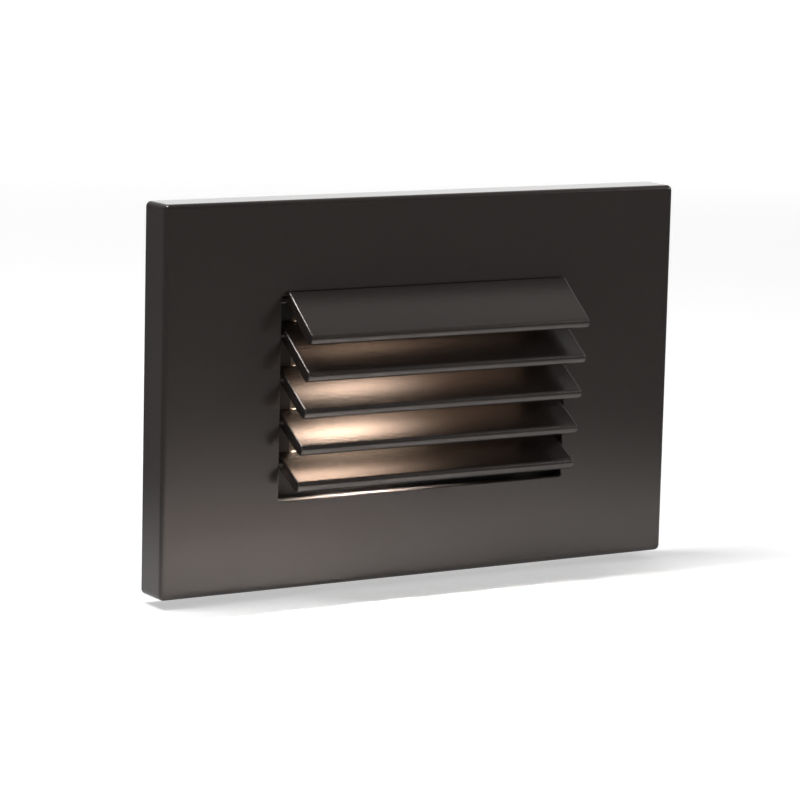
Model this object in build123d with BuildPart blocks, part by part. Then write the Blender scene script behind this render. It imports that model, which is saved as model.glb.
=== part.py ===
"""Louvred step light for a wall box: a faceplate with five sloping blades over a lit lens.

All sizes are in millimetres. The origin is on the wall face, at the middle of the light: +X to the
right, +Y into the wall and +Z up. "Out" is a distance in front of the wall, along -Y, so a place
inside the wall box has a negative one.
"""

import os
from math import cos, radians, sin, tan

from build123d import *

# ---- Faceplate ----
PLATE_WIDTH = 127.0
PLATE_HEIGHT = 82.55
PLATE_DEPTH = 8.5
PLATE_FRONT_WALL = 3.5
PLATE_RIM = 4.5
PLATE_CORNER_R = 1.2
PLATE_EDGE_R = 0.95
HOLLOW_CORNER_R = 3.0
OPENING_WIDTH = 71.6
OPENING_TOP = 21.2
OPENING_BOTTOM = 22.2
OPENING_CORNER_R = 0.8
OPENING_EDGE_R = 0.3
PAD_R = 3.2
PAD_X = 30.0
PAD_CLEARANCE = 0.3

# ---- Louvre blades, from the top one down ----
BLADE_COUNT = 5
BLADE_END_GAP = 1.1
BLADE_THICKNESS = 2.5
BLADE_EDGE_R = 0.45
BLADE_NOSE_R = 1.15
TOP_SLOPE_DEG = 38.5
BOTTOM_SLOPE_DEG = 28.5
TOP_NOSE_OUT = 18.35
TOP_NOSE_DROP = 9.5
BLADE_PITCH = 7.9
NOSE_STEP_BACK = 1.05
BLADE_REAR_GAP = 0.2
LIP_PROUD = 0.4
ROOT_HEIGHT = 2.0
ROOT_OUT = 9.6
TENON_WIDTH = 2.2
TENON_THICKNESS = 1.2
TENON_DEPTH = 1.6

# ---- Lens and its frame ----
RETAINER_THICKNESS = 0.8
RETAINER_LAP = 1.2
LENS_COVER_X = 0.8
LENS_COVER_Z = 1.7
LENS_THICKNESS = 2.5
LENS_CORNER_R = 2.5
LENS_GASKET_THICKNESS = 0.8
LENS_GASKET_BAND = 1.8

# ---- Lamp housing, which reaches back into the wall box ----
HOUSING_SIDE_ROOM = 6.65
HOUSING_HEIGHT = 44.0
HOUSING_WALL = 2.5
HOUSING_CORNER_R = 5.0
HOUSING_DEPTH = 33.8
FLANGE_LIP = 2.0
FLANGE_EDGE = 0.3
FLANGE_THICKNESS = 2.3
FLANGE_CORNER_R = 4.0
POST_R = 3.5
POST_INSET = 3.0

# ---- Light source ----
REFLECTOR_WALL = 0.8
REFLECTOR_FLANGE = 1.0
REFLECTOR_DEPTH = 9.9
BOARD_WIDTH = 42.0
BOARD_HEIGHT = 24.0
BOARD_THICKNESS = 1.6
BOARD_CORNER_R = 2.0
CHIP_SIZE = 3.0
CHIP_HEIGHT = 0.7
CHIP_COLUMNS = 4
CHIP_ROWS = 2
CHIP_PITCH_X = 7.0
CHIP_PITCH_Z = 8.0
CONNECTOR_SIZE = (6.0, 3.2, 2.2)
CONNECTOR_BELOW = 8.8
CONNECTOR_HOLE_R = 0.6
CONNECTOR_HOLE_PITCH = 2.5
CONNECTOR_HOLE_DEPTH = 1.5
SPREADER_THICKNESS = 3.0

# ---- Driver ----
DRIVER_WIDTH = 54.0
DRIVER_HEIGHT = 26.0
DRIVER_THICKNESS = 1.6
STANDOFF_HEIGHT = 5.4
STANDOFF_R = 2.0
STANDOFF_PIN_R = 1.0
STANDOFF_PIN_DEPTH = 2.0
STANDOFF_CAP_R = 1.5
STANDOFF_CAP = 0.8
STANDOFF_INSET_X = 5.0
STANDOFF_INSET_Z = 3.5
CORE_SIZE = (16.0, 6.0, 9.5)
COIL_SIZE = (11.0, 13.0, 7.0)
COIL_EDGE_R = 1.5
CAPACITOR_R = 4.0
CAPACITOR_LENGTH = 10.0
CAPACITOR_EDGE_R = 0.6
CAPACITOR_GAP_X = 3.0
CAPACITOR_GAP_Z = 1.0
CHOKE_R = 3.5
CHOKE_LENGTH = 6.5
CHOKE_WAIST_R = 2.6
CHOKE_FLANGE = 1.0
CHOKE_X = -17.0
CHOKE_Z = 5.0
TERMINAL_SIZE = (10.0, 7.0, 7.5)
TERMINAL_X = -15.0
TERMINAL_Z = -4.5
TERMINAL_POLES = 3
TERMINAL_PITCH = 3.0
TERMINAL_HOLE_R = 1.1
TERMINAL_HOLE_DEPTH = 4.0
DRIVER_CHIP_SIZE = (4.5, 6.0, 1.8)
DRIVER_CHIP_X = 24.0

# ---- Rear cover and the inlet for the leads ----
COVER_THICKNESS = 2.0
COVER_GASKET_THICKNESS = 0.8
GROMMET_BORE_R = 2.5
GROMMET_NECK_R = 4.5
GROMMET_FLANGE_R = 6.0
GROMMET_FLANGE = 1.2

# ---- Wall side ----
BRACKET_END_CLEARANCE = 3.0
BRACKET_WING_HEIGHT = 50.0
BRACKET_THICKNESS = 1.5
BRACKET_BOTTOM_CLEARANCE = 0.6
BRACKET_CORNER_R = 3.0
BRACKET_WING = 11.0
BRACKET_FLANGE_OUT = 4.7
BRACKET_BEND_R = 0.5
BRACKET_WINDOW_CLEARANCE = 1.5
BOX_SCREW_SPACING = 83.3
BOX_SCREW_HOLE_R = 2.1
GASKET_WIDTH = 2.3
GASKET_THICKNESS = 1.2

# ---- Screws ----
M3_R = 1.5
M3_HEAD_R = 2.75
M3_HEAD_HEIGHT = 1.8
M3_SOCKET = 2.0
COUNTERSINK_HEAD_R = 2.8
HOUSING_SCREW_LENGTH = 5.0
SPREADER_SCREW_LENGTH = 8.0
COVER_SCREW_LENGTH = 8.0
BOARD_SCREW_R = 1.25
BOARD_SCREW_LENGTH = 4.2
BOARD_SCREW_HEAD_R = 2.0
BOARD_SCREW_HEAD_HEIGHT = 1.2
BOARD_SCREW_SOCKET = 1.5
BOARD_SCREW_INSET = 4.0
SOCKET_DEPTH_SHARE = 0.6
HEAD_EDGE_SHARE = 0.33
SET_SCREW_LENGTH = 4.5
SET_SCREW_INSET = 7.0
SET_SCREW_OUT = 3.2
SET_SCREW_SOCKET = 1.5
SET_SCREW_SOCKET_DEPTH = 2.0
SET_SCREW_CHAMFER = 0.3

# ---- Fits ----
THREAD_CLEARANCE = 0.05
HOLE_CLEARANCE = 0.15
SEAT_CLEARANCE = 0.3
SLIP_CLEARANCE = 0.05
BRACKET_TOP_CLEARANCE = 0.2
SET_SCREW_TIP_CLEARANCE = 0.1
HOLE_TIP_CLEARANCE = 0.4

# ---- Places along the "out" direction, from the face back ----
OPENING_REAR_OUT = PLATE_DEPTH - PLATE_FRONT_WALL
FLANGE_FRONT_OUT = OPENING_REAR_OUT - RETAINER_THICKNESS
FLANGE_REAR_OUT = FLANGE_FRONT_OUT - FLANGE_THICKNESS
LENS_REAR_OUT = FLANGE_FRONT_OUT - LENS_THICKNESS
REFLECTOR_FRONT_OUT = LENS_REAR_OUT - LENS_GASKET_THICKNESS
REFLECTOR_THROAT_OUT = REFLECTOR_FRONT_OUT - REFLECTOR_FLANGE
BOARD_FRONT_OUT = REFLECTOR_THROAT_OUT - REFLECTOR_DEPTH
SPREADER_FRONT_OUT = BOARD_FRONT_OUT - BOARD_THICKNESS
SPREADER_REAR_OUT = SPREADER_FRONT_OUT - SPREADER_THICKNESS
DRIVER_FRONT_OUT = SPREADER_REAR_OUT - STANDOFF_HEIGHT
DRIVER_REAR_OUT = DRIVER_FRONT_OUT - DRIVER_THICKNESS
HOUSING_REAR_OUT = -HOUSING_DEPTH
COVER_FRONT_OUT = HOUSING_REAR_OUT - COVER_GASKET_THICKNESS
COVER_REAR_OUT = COVER_FRONT_OUT - COVER_THICKNESS

# ---- Sizes that follow from the ones above ----
RIM_INNER_WIDTH = PLATE_WIDTH - 2 * PLATE_RIM
RIM_INNER_HEIGHT = PLATE_HEIGHT - 2 * PLATE_RIM
OPENING_HEIGHT = OPENING_TOP + OPENING_BOTTOM
OPENING_MIDDLE = (OPENING_TOP - OPENING_BOTTOM) / 2
PAD_Z = OPENING_BOTTOM + RETAINER_LAP + PAD_CLEARANCE + PAD_R
BLADE_LENGTH = OPENING_WIDTH - 2 * BLADE_END_GAP
TOP_NOSE_HEIGHT = OPENING_TOP - TOP_NOSE_DROP
FLANGE_HEIGHT = 2 * (PAD_Z + PAD_R + FLANGE_EDGE)
HOUSING_WIDTH = BOX_SCREW_SPACING - 2 * HOUSING_SIDE_ROOM
CAVITY_WIDTH = HOUSING_WIDTH - 2 * HOUSING_WALL
CAVITY_HEIGHT = HOUSING_HEIGHT - 2 * HOUSING_WALL
CAVITY_CORNER_R = HOUSING_CORNER_R - HOUSING_WALL
HOUSING_LENGTH = FLANGE_FRONT_OUT + HOUSING_DEPTH
FLANGE_WIDTH = HOUSING_WIDTH + 2 * FLANGE_LIP
LENS_WIDTH = CAVITY_WIDTH - 2 * SEAT_CLEARANCE
LENS_HEIGHT = CAVITY_HEIGHT - 2 * SEAT_CLEARANCE
LENS_WINDOW_WIDTH = LENS_WIDTH - 2 * LENS_COVER_X
LENS_WINDOW_HEIGHT = LENS_HEIGHT - 2 * LENS_COVER_Z
MOUTH_WIDTH = LENS_WIDTH - 2 * LENS_GASKET_BAND
MOUTH_HEIGHT = LENS_HEIGHT - 2 * LENS_GASKET_BAND
POST_X = CAVITY_WIDTH / 2 - POST_INSET
POST_Z = CAVITY_HEIGHT / 2 - POST_INSET
BOARD_SCREW_X = BOARD_WIDTH / 2 - BOARD_SCREW_INSET
STANDOFF_X = DRIVER_WIDTH / 2 - STANDOFF_INSET_X
STANDOFF_Z = DRIVER_HEIGHT / 2 - STANDOFF_INSET_Z
CAPACITOR_X = CORE_SIZE[0] / 2 + CAPACITOR_GAP_X + CAPACITOR_R
CAPACITOR_Z = CAPACITOR_R + CAPACITOR_GAP_Z
WINDOW_WIDTH = HOUSING_WIDTH + 2 * BRACKET_WINDOW_CLEARANCE
WINDOW_HEIGHT = HOUSING_HEIGHT + 2 * BRACKET_WINDOW_CLEARANCE
WINDOW_CORNER_R = HOUSING_CORNER_R + BRACKET_WINDOW_CLEARANCE
BRACKET_WIDTH = RIM_INNER_WIDTH - 2 * BRACKET_END_CLEARANCE
BRACKET_CHANNEL_WIDTH = BRACKET_WIDTH - 2 * BRACKET_WING
SET_SCREW_X = BRACKET_CHANNEL_WIDTH / 2 - SET_SCREW_INSET
BRACKET_TOP = RIM_INNER_HEIGHT / 2 - BRACKET_TOP_CLEARANCE
BRACKET_BOTTOM = RIM_INNER_HEIGHT / 2 - BRACKET_BOTTOM_CLEARANCE
BRACKET_MIDDLE = (BRACKET_TOP - BRACKET_BOTTOM) / 2
TENON_OUT = PLATE_DEPTH - PLATE_FRONT_WALL / 2
TENON_REACH = OPENING_WIDTH / 2 + TENON_DEPTH
ROOT_TOP = OPENING_TOP - SLIP_CLEARANCE
ROOT_MIDDLE = ROOT_TOP - ROOT_HEIGHT / 2
GROOVE_WIDTH = GASKET_WIDTH + 2 * SLIP_CLEARANCE
GROOVE_INSET = (PLATE_RIM - GROOVE_WIDTH) / 2
SIDES = (-1, 1)


def facing_out(x: float, out: float, z: float) -> Plane:
    """A plane that faces the viewer: its X is the light's X and its Y is the light's Z."""
    return Plane(origin=(x, -out, z), x_dir=(1, 0, 0), z_dir=(0, -1, 0))


def facing_in(x: float, out: float, z: float) -> Plane:
    """A plane that faces into the wall."""
    return Plane(origin=(x, -out, z), x_dir=(1, 0, 0), z_dir=(0, 1, 0))


def corner_places(x: float, z: float) -> list[tuple[float, float]]:
    """The four places at plus and minus x and z."""
    return [(side_x * x, side_z * z) for side_x in SIDES for side_z in SIDES]


def round_head_screw(
    seat: Plane, radius: float, length: float, head_r: float, head_height: float, socket: float
) -> Part:
    """A screw whose round head stands on `seat`, with a hexagon socket, and its shank below."""
    with BuildPart(seat) as screw:
        Cylinder(head_r, head_height, align=(Align.CENTER, Align.CENTER, Align.MIN))
        rim = screw.edges().filter_by(GeomType.CIRCLE).sort_by(Axis(seat.origin, seat.z_dir))[-1]
        fillet(rim, head_height * HEAD_EDGE_SHARE)
        Cylinder(radius, length, align=(Align.CENTER, Align.CENTER, Align.MAX))
        with BuildSketch(seat.offset(head_height)):
            RegularPolygon(socket / 2, 6, major_radius=False)
        extrude(amount=-head_height * SOCKET_DEPTH_SHARE, mode=Mode.SUBTRACT)
    return screw.part


def countersunk_screw(seat: Plane, radius: float, length: float, head_r: float) -> Part:
    """A screw whose cone head lies flush with `seat`, with its shank below."""
    with BuildPart(seat) as screw:
        Cone(radius, head_r, head_r - radius, align=(Align.CENTER, Align.CENTER, Align.MAX))
        Cylinder(radius, length, align=(Align.CENTER, Align.CENTER, Align.MAX))
        with BuildSketch(seat):
            RegularPolygon(M3_SOCKET / 2, 6, major_radius=False)
        extrude(amount=-(head_r - radius) * SOCKET_DEPTH_SHARE, mode=Mode.SUBTRACT)
    return screw.part


# ---- Louvre geometry, shared by the blades and their sockets in the faceplate ----


def blade_slope(index: int) -> float:
    """Slope of a blade in degrees: it falls evenly from the top blade to the bottom one."""
    return TOP_SLOPE_DEG + (BOTTOM_SLOPE_DEG - TOP_SLOPE_DEG) * index / (BLADE_COUNT - 1)


def nose_underside(index: int) -> tuple[float, float]:
    """Out and height of the lower corner of a blade's nose."""
    return (TOP_NOSE_OUT - NOSE_STEP_BACK * index, TOP_NOSE_HEIGHT - BLADE_PITCH * index)


def blade_height(index: int, lift: float, out: float) -> float:
    """Height at `out` of the line that runs along a blade, `lift` above its underside."""
    nose_out, nose_height = nose_underside(index)
    slope = radians(blade_slope(index))
    return nose_height + lift / cos(slope) + (nose_out - out) * tan(slope)


def tenon_place(index: int) -> tuple[float, float, float]:
    """Y, Z and turn of a blade's end tenon. The top blade's is level, in its root."""
    if index == 0:
        return (-TENON_OUT, ROOT_MIDDLE, 0)
    return (-TENON_OUT, blade_height(index, BLADE_THICKNESS / 2, TENON_OUT), blade_slope(index))


def louvre_blade(index: int) -> Part:
    """One blade: a slab with a round nose, a root behind the top one's lip, and end tenons."""
    slope = radians(blade_slope(index))
    nose_out, nose_height = nose_underside(index)
    blade_rear_out = OPENING_REAR_OUT + BLADE_REAR_GAP
    slab_rear_out = PLATE_DEPTH + LIP_PROUD if index == 0 else blade_rear_out
    tenon_y, tenon_z, tenon_turn = tenon_place(index)
    with BuildPart() as blade:
        with BuildSketch(Plane.YZ) as section:
            with BuildLine():
                Polyline(
                    (-nose_out, nose_height),
                    (
                        -nose_out - BLADE_THICKNESS * sin(slope),
                        nose_height + BLADE_THICKNESS * cos(slope),
                    ),
                    (-slab_rear_out, blade_height(index, BLADE_THICKNESS, slab_rear_out)),
                    (-slab_rear_out, blade_height(index, 0, slab_rear_out)),
                    close=True,
                )
            make_face()
            fillet(section.vertices().sort_by(Axis.X)[:2], BLADE_NOSE_R)
            if index == 0:
                fillet(section.vertices().sort_by(Axis.Y)[-1], BLADE_EDGE_R)
        extrude(amount=BLADE_LENGTH / 2, both=True)
        fillet(blade.faces().filter_by(Axis.X).edges(), BLADE_EDGE_R)
        if index == 0:
            root_depth = ROOT_OUT - blade_rear_out
            with BuildSketch(Plane.YZ):
                with Locations((-blade_rear_out - root_depth / 2, ROOT_MIDDLE)):
                    Rectangle(root_depth, ROOT_HEIGHT)
            extrude(amount=BLADE_LENGTH / 2 - BLADE_EDGE_R, both=True)
        with BuildSketch(Plane.YZ):
            with Locations((tenon_y, tenon_z)):
                Rectangle(TENON_WIDTH, TENON_THICKNESS, rotation=tenon_turn)
        extrude(amount=TENON_REACH, both=True)
    return blade.part


# ---- Faceplate: a shallow cast cover, hollow behind, with the louvre opening ----

with BuildPart() as faceplate:
    with BuildSketch(facing_out(0, 0, 0)):
        RectangleRounded(PLATE_WIDTH, PLATE_HEIGHT, PLATE_CORNER_R)
    extrude(amount=PLATE_DEPTH)
    fillet(faceplate.faces().sort_by(Axis.Y)[0].edges(), PLATE_EDGE_R)
    with BuildSketch(facing_out(0, 0, 0)):
        RectangleRounded(RIM_INNER_WIDTH, RIM_INNER_HEIGHT, HOLLOW_CORNER_R)
    extrude(amount=OPENING_REAR_OUT, mode=Mode.SUBTRACT)
    with BuildSketch(facing_out(0, FLANGE_FRONT_OUT, 0)):
        with Locations(*corner_places(PAD_X, PAD_Z)):
            Circle(PAD_R)
    extrude(amount=RETAINER_THICKNESS)
    with BuildSketch(facing_out(0, 0, 0)):
        with Locations((0, OPENING_MIDDLE)):
            RectangleRounded(OPENING_WIDTH, OPENING_HEIGHT, OPENING_CORNER_R)
    extrude(amount=PLATE_DEPTH, mode=Mode.SUBTRACT)
    fillet(faceplate.faces().sort_by(Axis.Y)[0].inner_wires()[0].edges(), OPENING_EDGE_R)
    # Blind holes for the housing screws, one in each pad
    with BuildSketch(facing_out(0, FLANGE_FRONT_OUT, 0)):
        with Locations(*corner_places(PAD_X, PAD_Z)):
            Circle(M3_R + THREAD_CLEARANCE)
    extrude(amount=HOUSING_SCREW_LENGTH - FLANGE_THICKNESS + HOLE_TIP_CLEARANCE, mode=Mode.SUBTRACT)
    # Set screw holes, up through the bottom rim
    with BuildSketch(Plane.XY.offset(-PLATE_HEIGHT / 2)):
        with Locations(*[(side * SET_SCREW_X, -SET_SCREW_OUT) for side in SIDES]):
            Circle(M3_R + THREAD_CLEARANCE)
    extrude(amount=PLATE_RIM, mode=Mode.SUBTRACT)
    # Groove for the wall gasket, all round the rim
    with BuildSketch(facing_out(0, 0, 0)):
        RectangleRounded(
            PLATE_WIDTH - 2 * GROOVE_INSET, PLATE_HEIGHT - 2 * GROOVE_INSET, HOLLOW_CORNER_R
        )
        RectangleRounded(
            PLATE_WIDTH - 2 * (GROOVE_INSET + GROOVE_WIDTH),
            PLATE_HEIGHT - 2 * (GROOVE_INSET + GROOVE_WIDTH),
            HOLLOW_CORNER_R - GASKET_WIDTH / 2,
            mode=Mode.SUBTRACT,
        )
    extrude(amount=GASKET_THICKNESS, mode=Mode.SUBTRACT)
    # Sockets for the blades' tenons, in the opening's side walls
    with BuildSketch(Plane.YZ):
        for blade_index in range(BLADE_COUNT):
            socket_y, socket_z, socket_turn = tenon_place(blade_index)
            with Locations((socket_y, socket_z)):
                Rectangle(
                    TENON_WIDTH + 2 * SLIP_CLEARANCE,
                    TENON_THICKNESS + 2 * SLIP_CLEARANCE,
                    rotation=socket_turn,
                )
    extrude(amount=TENON_REACH + SLIP_CLEARANCE, both=True, mode=Mode.SUBTRACT)
faceplate.part.label = "faceplate"
export_step(faceplate.part, "parts/faceplate.step")

# ---- Louvre blades ----

for blade_index in range(BLADE_COUNT):
    blade_part = louvre_blade(blade_index)
    blade_part.label = f"louvre_blade_{blade_index + 1}"
    export_step(blade_part, f"parts/{blade_part.label}.step")

# ---- Foam ring in the rim, against the wall ----

with BuildPart() as wall_gasket:
    with BuildSketch(facing_out(0, 0, 0)):
        gasket_inset = GROOVE_INSET + SLIP_CLEARANCE
        RectangleRounded(
            PLATE_WIDTH - 2 * gasket_inset, PLATE_HEIGHT - 2 * gasket_inset, HOLLOW_CORNER_R
        )
        RectangleRounded(
            PLATE_WIDTH - 2 * (gasket_inset + GASKET_WIDTH),
            PLATE_HEIGHT - 2 * (gasket_inset + GASKET_WIDTH),
            HOLLOW_CORNER_R - GASKET_WIDTH / 2,
            mode=Mode.SUBTRACT,
        )
    extrude(amount=GASKET_THICKNESS)
wall_gasket.part.label = "wall_gasket"
export_step(wall_gasket.part, "parts/wall_gasket.step")

# ---- Frame that holds the lens, clamped between the faceplate and the housing ----

with BuildPart() as lens_retainer:
    with BuildSketch(facing_out(0, FLANGE_FRONT_OUT, 0)):
        with Locations((0, OPENING_MIDDLE)):
            Rectangle(FLANGE_WIDTH, OPENING_HEIGHT + 2 * RETAINER_LAP)
        RectangleRounded(
            LENS_WINDOW_WIDTH, LENS_WINDOW_HEIGHT, LENS_CORNER_R, mode=Mode.SUBTRACT
        )
    extrude(amount=RETAINER_THICKNESS)
lens_retainer.part.label = "lens_retainer"
export_step(lens_retainer.part, "parts/lens_retainer.step")

# ---- Lens and its gasket, in the mouth of the housing ----

with BuildPart() as lens:
    with BuildSketch(facing_in(0, FLANGE_FRONT_OUT, 0)):
        RectangleRounded(LENS_WIDTH, LENS_HEIGHT, LENS_CORNER_R)
    extrude(amount=LENS_THICKNESS)
lens.part.label = "lens"
export_step(lens.part, "parts/lens.step")

with BuildPart() as lens_gasket:
    with BuildSketch(facing_in(0, LENS_REAR_OUT, 0)):
        RectangleRounded(LENS_WIDTH, LENS_HEIGHT, LENS_CORNER_R)
        RectangleRounded(MOUTH_WIDTH, MOUTH_HEIGHT, LENS_CORNER_R, mode=Mode.SUBTRACT)
    extrude(amount=LENS_GASKET_THICKNESS)
lens_gasket.part.label = "lens_gasket"
export_step(lens_gasket.part, "parts/lens_gasket.step")

# ---- Reflector: a funnel from the light source to the lens ----

with BuildPart() as reflector:
    with BuildSketch(facing_in(0, REFLECTOR_FRONT_OUT, 0)):
        RectangleRounded(LENS_WIDTH, LENS_HEIGHT, LENS_CORNER_R)
    extrude(amount=REFLECTOR_FLANGE)
    with BuildSketch(facing_in(0, REFLECTOR_THROAT_OUT, 0)):
        RectangleRounded(
            MOUTH_WIDTH + 2 * REFLECTOR_WALL, MOUTH_HEIGHT + 2 * REFLECTOR_WALL, LENS_CORNER_R
        )
    with BuildSketch(facing_in(0, BOARD_FRONT_OUT, 0)):
        RectangleRounded(BOARD_WIDTH, BOARD_HEIGHT, BOARD_CORNER_R)
    loft()
    with BuildSketch(facing_in(0, REFLECTOR_FRONT_OUT, 0)):
        RectangleRounded(MOUTH_WIDTH, MOUTH_HEIGHT, LENS_CORNER_R)
    with BuildSketch(facing_in(0, BOARD_FRONT_OUT, 0)):
        RectangleRounded(
            BOARD_WIDTH - 2 * REFLECTOR_WALL, BOARD_HEIGHT - 2 * REFLECTOR_WALL, BOARD_CORNER_R
        )
    loft(mode=Mode.SUBTRACT)
reflector.part.label = "reflector"
export_step(reflector.part, "parts/reflector.step")

# ---- Light board, its chips, connector and screws ----

with BuildPart() as led_board:
    with BuildSketch(facing_in(0, BOARD_FRONT_OUT, 0)):
        RectangleRounded(BOARD_WIDTH, BOARD_HEIGHT, BOARD_CORNER_R)
        with Locations(*[(side * BOARD_SCREW_X, 0) for side in SIDES]):
            Circle(BOARD_SCREW_R + HOLE_CLEARANCE, mode=Mode.SUBTRACT)
    extrude(amount=BOARD_THICKNESS)
led_board.part.label = "led_board"
export_step(led_board.part, "parts/led_board.step")

with BuildPart() as led_chips:
    with BuildSketch(facing_out(0, BOARD_FRONT_OUT, 0)):
        with GridLocations(CHIP_PITCH_X, CHIP_PITCH_Z, CHIP_COLUMNS, CHIP_ROWS):
            Rectangle(CHIP_SIZE, CHIP_SIZE)
    extrude(amount=CHIP_HEIGHT)
led_chips.part.label = "led_chips"
export_step(led_chips.part, "parts/led_chips.step")

with BuildPart(facing_out(0, BOARD_FRONT_OUT, -CONNECTOR_BELOW)) as led_connector:
    Box(*CONNECTOR_SIZE, align=(Align.CENTER, Align.CENTER, Align.MIN))
    with BuildSketch(facing_out(0, BOARD_FRONT_OUT + CONNECTOR_SIZE[2], -CONNECTOR_BELOW)):
        with GridLocations(CONNECTOR_HOLE_PITCH, 0, 2, 1):
            Circle(CONNECTOR_HOLE_R)
    extrude(amount=-CONNECTOR_HOLE_DEPTH, mode=Mode.SUBTRACT)
led_connector.part.label = "led_connector"
export_step(led_connector.part, "parts/led_connector.step")

board_screw_list = [
    round_head_screw(
        facing_out(side * BOARD_SCREW_X, BOARD_FRONT_OUT, 0),
        BOARD_SCREW_R,
        BOARD_SCREW_LENGTH,
        BOARD_SCREW_HEAD_R,
        BOARD_SCREW_HEAD_HEIGHT,
        BOARD_SCREW_SOCKET,
    )
    for side in SIDES
]
with BuildPart() as board_screws:
    add(board_screw_list)
board_screws.part.label = "board_screws"
export_step(board_screws.part, "parts/board_screws.step")

# ---- Heat spreader, screwed to the housing's posts ----

with BuildPart() as heat_spreader:
    with BuildSketch(facing_in(0, SPREADER_FRONT_OUT, 0)):
        RectangleRounded(LENS_WIDTH, LENS_HEIGHT, LENS_CORNER_R)
        with Locations(*corner_places(POST_X, POST_Z)):
            Circle(M3_R + HOLE_CLEARANCE, mode=Mode.SUBTRACT)
        with Locations(*[(side * BOARD_SCREW_X, 0) for side in SIDES]):
            Circle(BOARD_SCREW_R + THREAD_CLEARANCE, mode=Mode.SUBTRACT)
    extrude(amount=SPREADER_THICKNESS)
    with BuildSketch(facing_in(0, SPREADER_REAR_OUT, 0)):
        with Locations(*corner_places(STANDOFF_X, STANDOFF_Z)):
            Circle(STANDOFF_PIN_R + SLIP_CLEARANCE)
    extrude(amount=-STANDOFF_PIN_DEPTH - SLIP_CLEARANCE, mode=Mode.SUBTRACT)
heat_spreader.part.label = "heat_spreader"
export_step(heat_spreader.part, "parts/heat_spreader.step")

spreader_screw_list = [
    round_head_screw(
        facing_out(x, SPREADER_FRONT_OUT, z),
        M3_R,
        SPREADER_SCREW_LENGTH,
        M3_HEAD_R,
        M3_HEAD_HEIGHT,
        M3_SOCKET,
    )
    for x, z in corner_places(POST_X, POST_Z)
]
with BuildPart() as spreader_screws:
    add(spreader_screw_list)
spreader_screws.part.label = "spreader_screws"
export_step(spreader_screws.part, "parts/spreader_screws.step")

# ---- Lamp housing: a can with a flange in front and four posts inside ----

with BuildPart() as lamp_housing:
    with BuildSketch(facing_in(0, FLANGE_FRONT_OUT, 0)):
        RectangleRounded(FLANGE_WIDTH, FLANGE_HEIGHT, FLANGE_CORNER_R)
    extrude(amount=FLANGE_THICKNESS)
    with BuildSketch(facing_in(0, FLANGE_FRONT_OUT, 0)):
        RectangleRounded(HOUSING_WIDTH, HOUSING_HEIGHT, HOUSING_CORNER_R)
    extrude(amount=HOUSING_LENGTH)
    with BuildSketch(facing_in(0, FLANGE_FRONT_OUT, 0)):
        RectangleRounded(CAVITY_WIDTH, CAVITY_HEIGHT, CAVITY_CORNER_R)
    extrude(amount=HOUSING_LENGTH, mode=Mode.SUBTRACT)
    with BuildSketch(facing_in(0, SPREADER_REAR_OUT, 0)):
        with Locations(*corner_places(POST_X, POST_Z)):
            Circle(POST_R)
    extrude(amount=SPREADER_REAR_OUT - HOUSING_REAR_OUT)
    # Screw holes in both ends of the posts
    with BuildSketch(facing_in(0, SPREADER_REAR_OUT, 0)):
        with Locations(*corner_places(POST_X, POST_Z)):
            Circle(M3_R + THREAD_CLEARANCE)
    extrude(
        amount=SPREADER_SCREW_LENGTH - SPREADER_THICKNESS + HOLE_TIP_CLEARANCE,
        mode=Mode.SUBTRACT,
    )
    with BuildSketch(facing_out(0, HOUSING_REAR_OUT, 0)):
        with Locations(*corner_places(POST_X, POST_Z)):
            Circle(M3_R + THREAD_CLEARANCE)
    extrude(
        amount=COVER_SCREW_LENGTH - COVER_THICKNESS - COVER_GASKET_THICKNESS + HOLE_TIP_CLEARANCE,
        mode=Mode.SUBTRACT,
    )
    # Countersunk holes through the flange
    with Locations(*[facing_in(x, FLANGE_REAR_OUT, z) for x, z in corner_places(PAD_X, PAD_Z)]):
        CounterSinkHole(
            M3_R + HOLE_CLEARANCE,
            COUNTERSINK_HEAD_R + HOLE_CLEARANCE,
            depth=FLANGE_THICKNESS,
            counter_sink_angle=90,
        )
lamp_housing.part.label = "lamp_housing"
export_step(lamp_housing.part, "parts/lamp_housing.step")

housing_screw_list = [
    countersunk_screw(
        facing_in(x, FLANGE_REAR_OUT, z), M3_R, HOUSING_SCREW_LENGTH, COUNTERSINK_HEAD_R
    )
    for x, z in corner_places(PAD_X, PAD_Z)
]
with BuildPart() as housing_screws:
    add(housing_screw_list)
housing_screws.part.label = "housing_screws"
export_step(housing_screws.part, "parts/housing_screws.step")

# ---- Driver board on its standoffs ----

with BuildPart() as driver_board:
    with BuildSketch(facing_in(0, DRIVER_FRONT_OUT, 0)):
        Rectangle(DRIVER_WIDTH, DRIVER_HEIGHT)
        with Locations(*corner_places(STANDOFF_X, STANDOFF_Z)):
            Circle(STANDOFF_PIN_R + SLIP_CLEARANCE, mode=Mode.SUBTRACT)
    extrude(amount=DRIVER_THICKNESS)
driver_board.part.label = "driver_board"
export_step(driver_board.part, "parts/driver_board.step")

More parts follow.
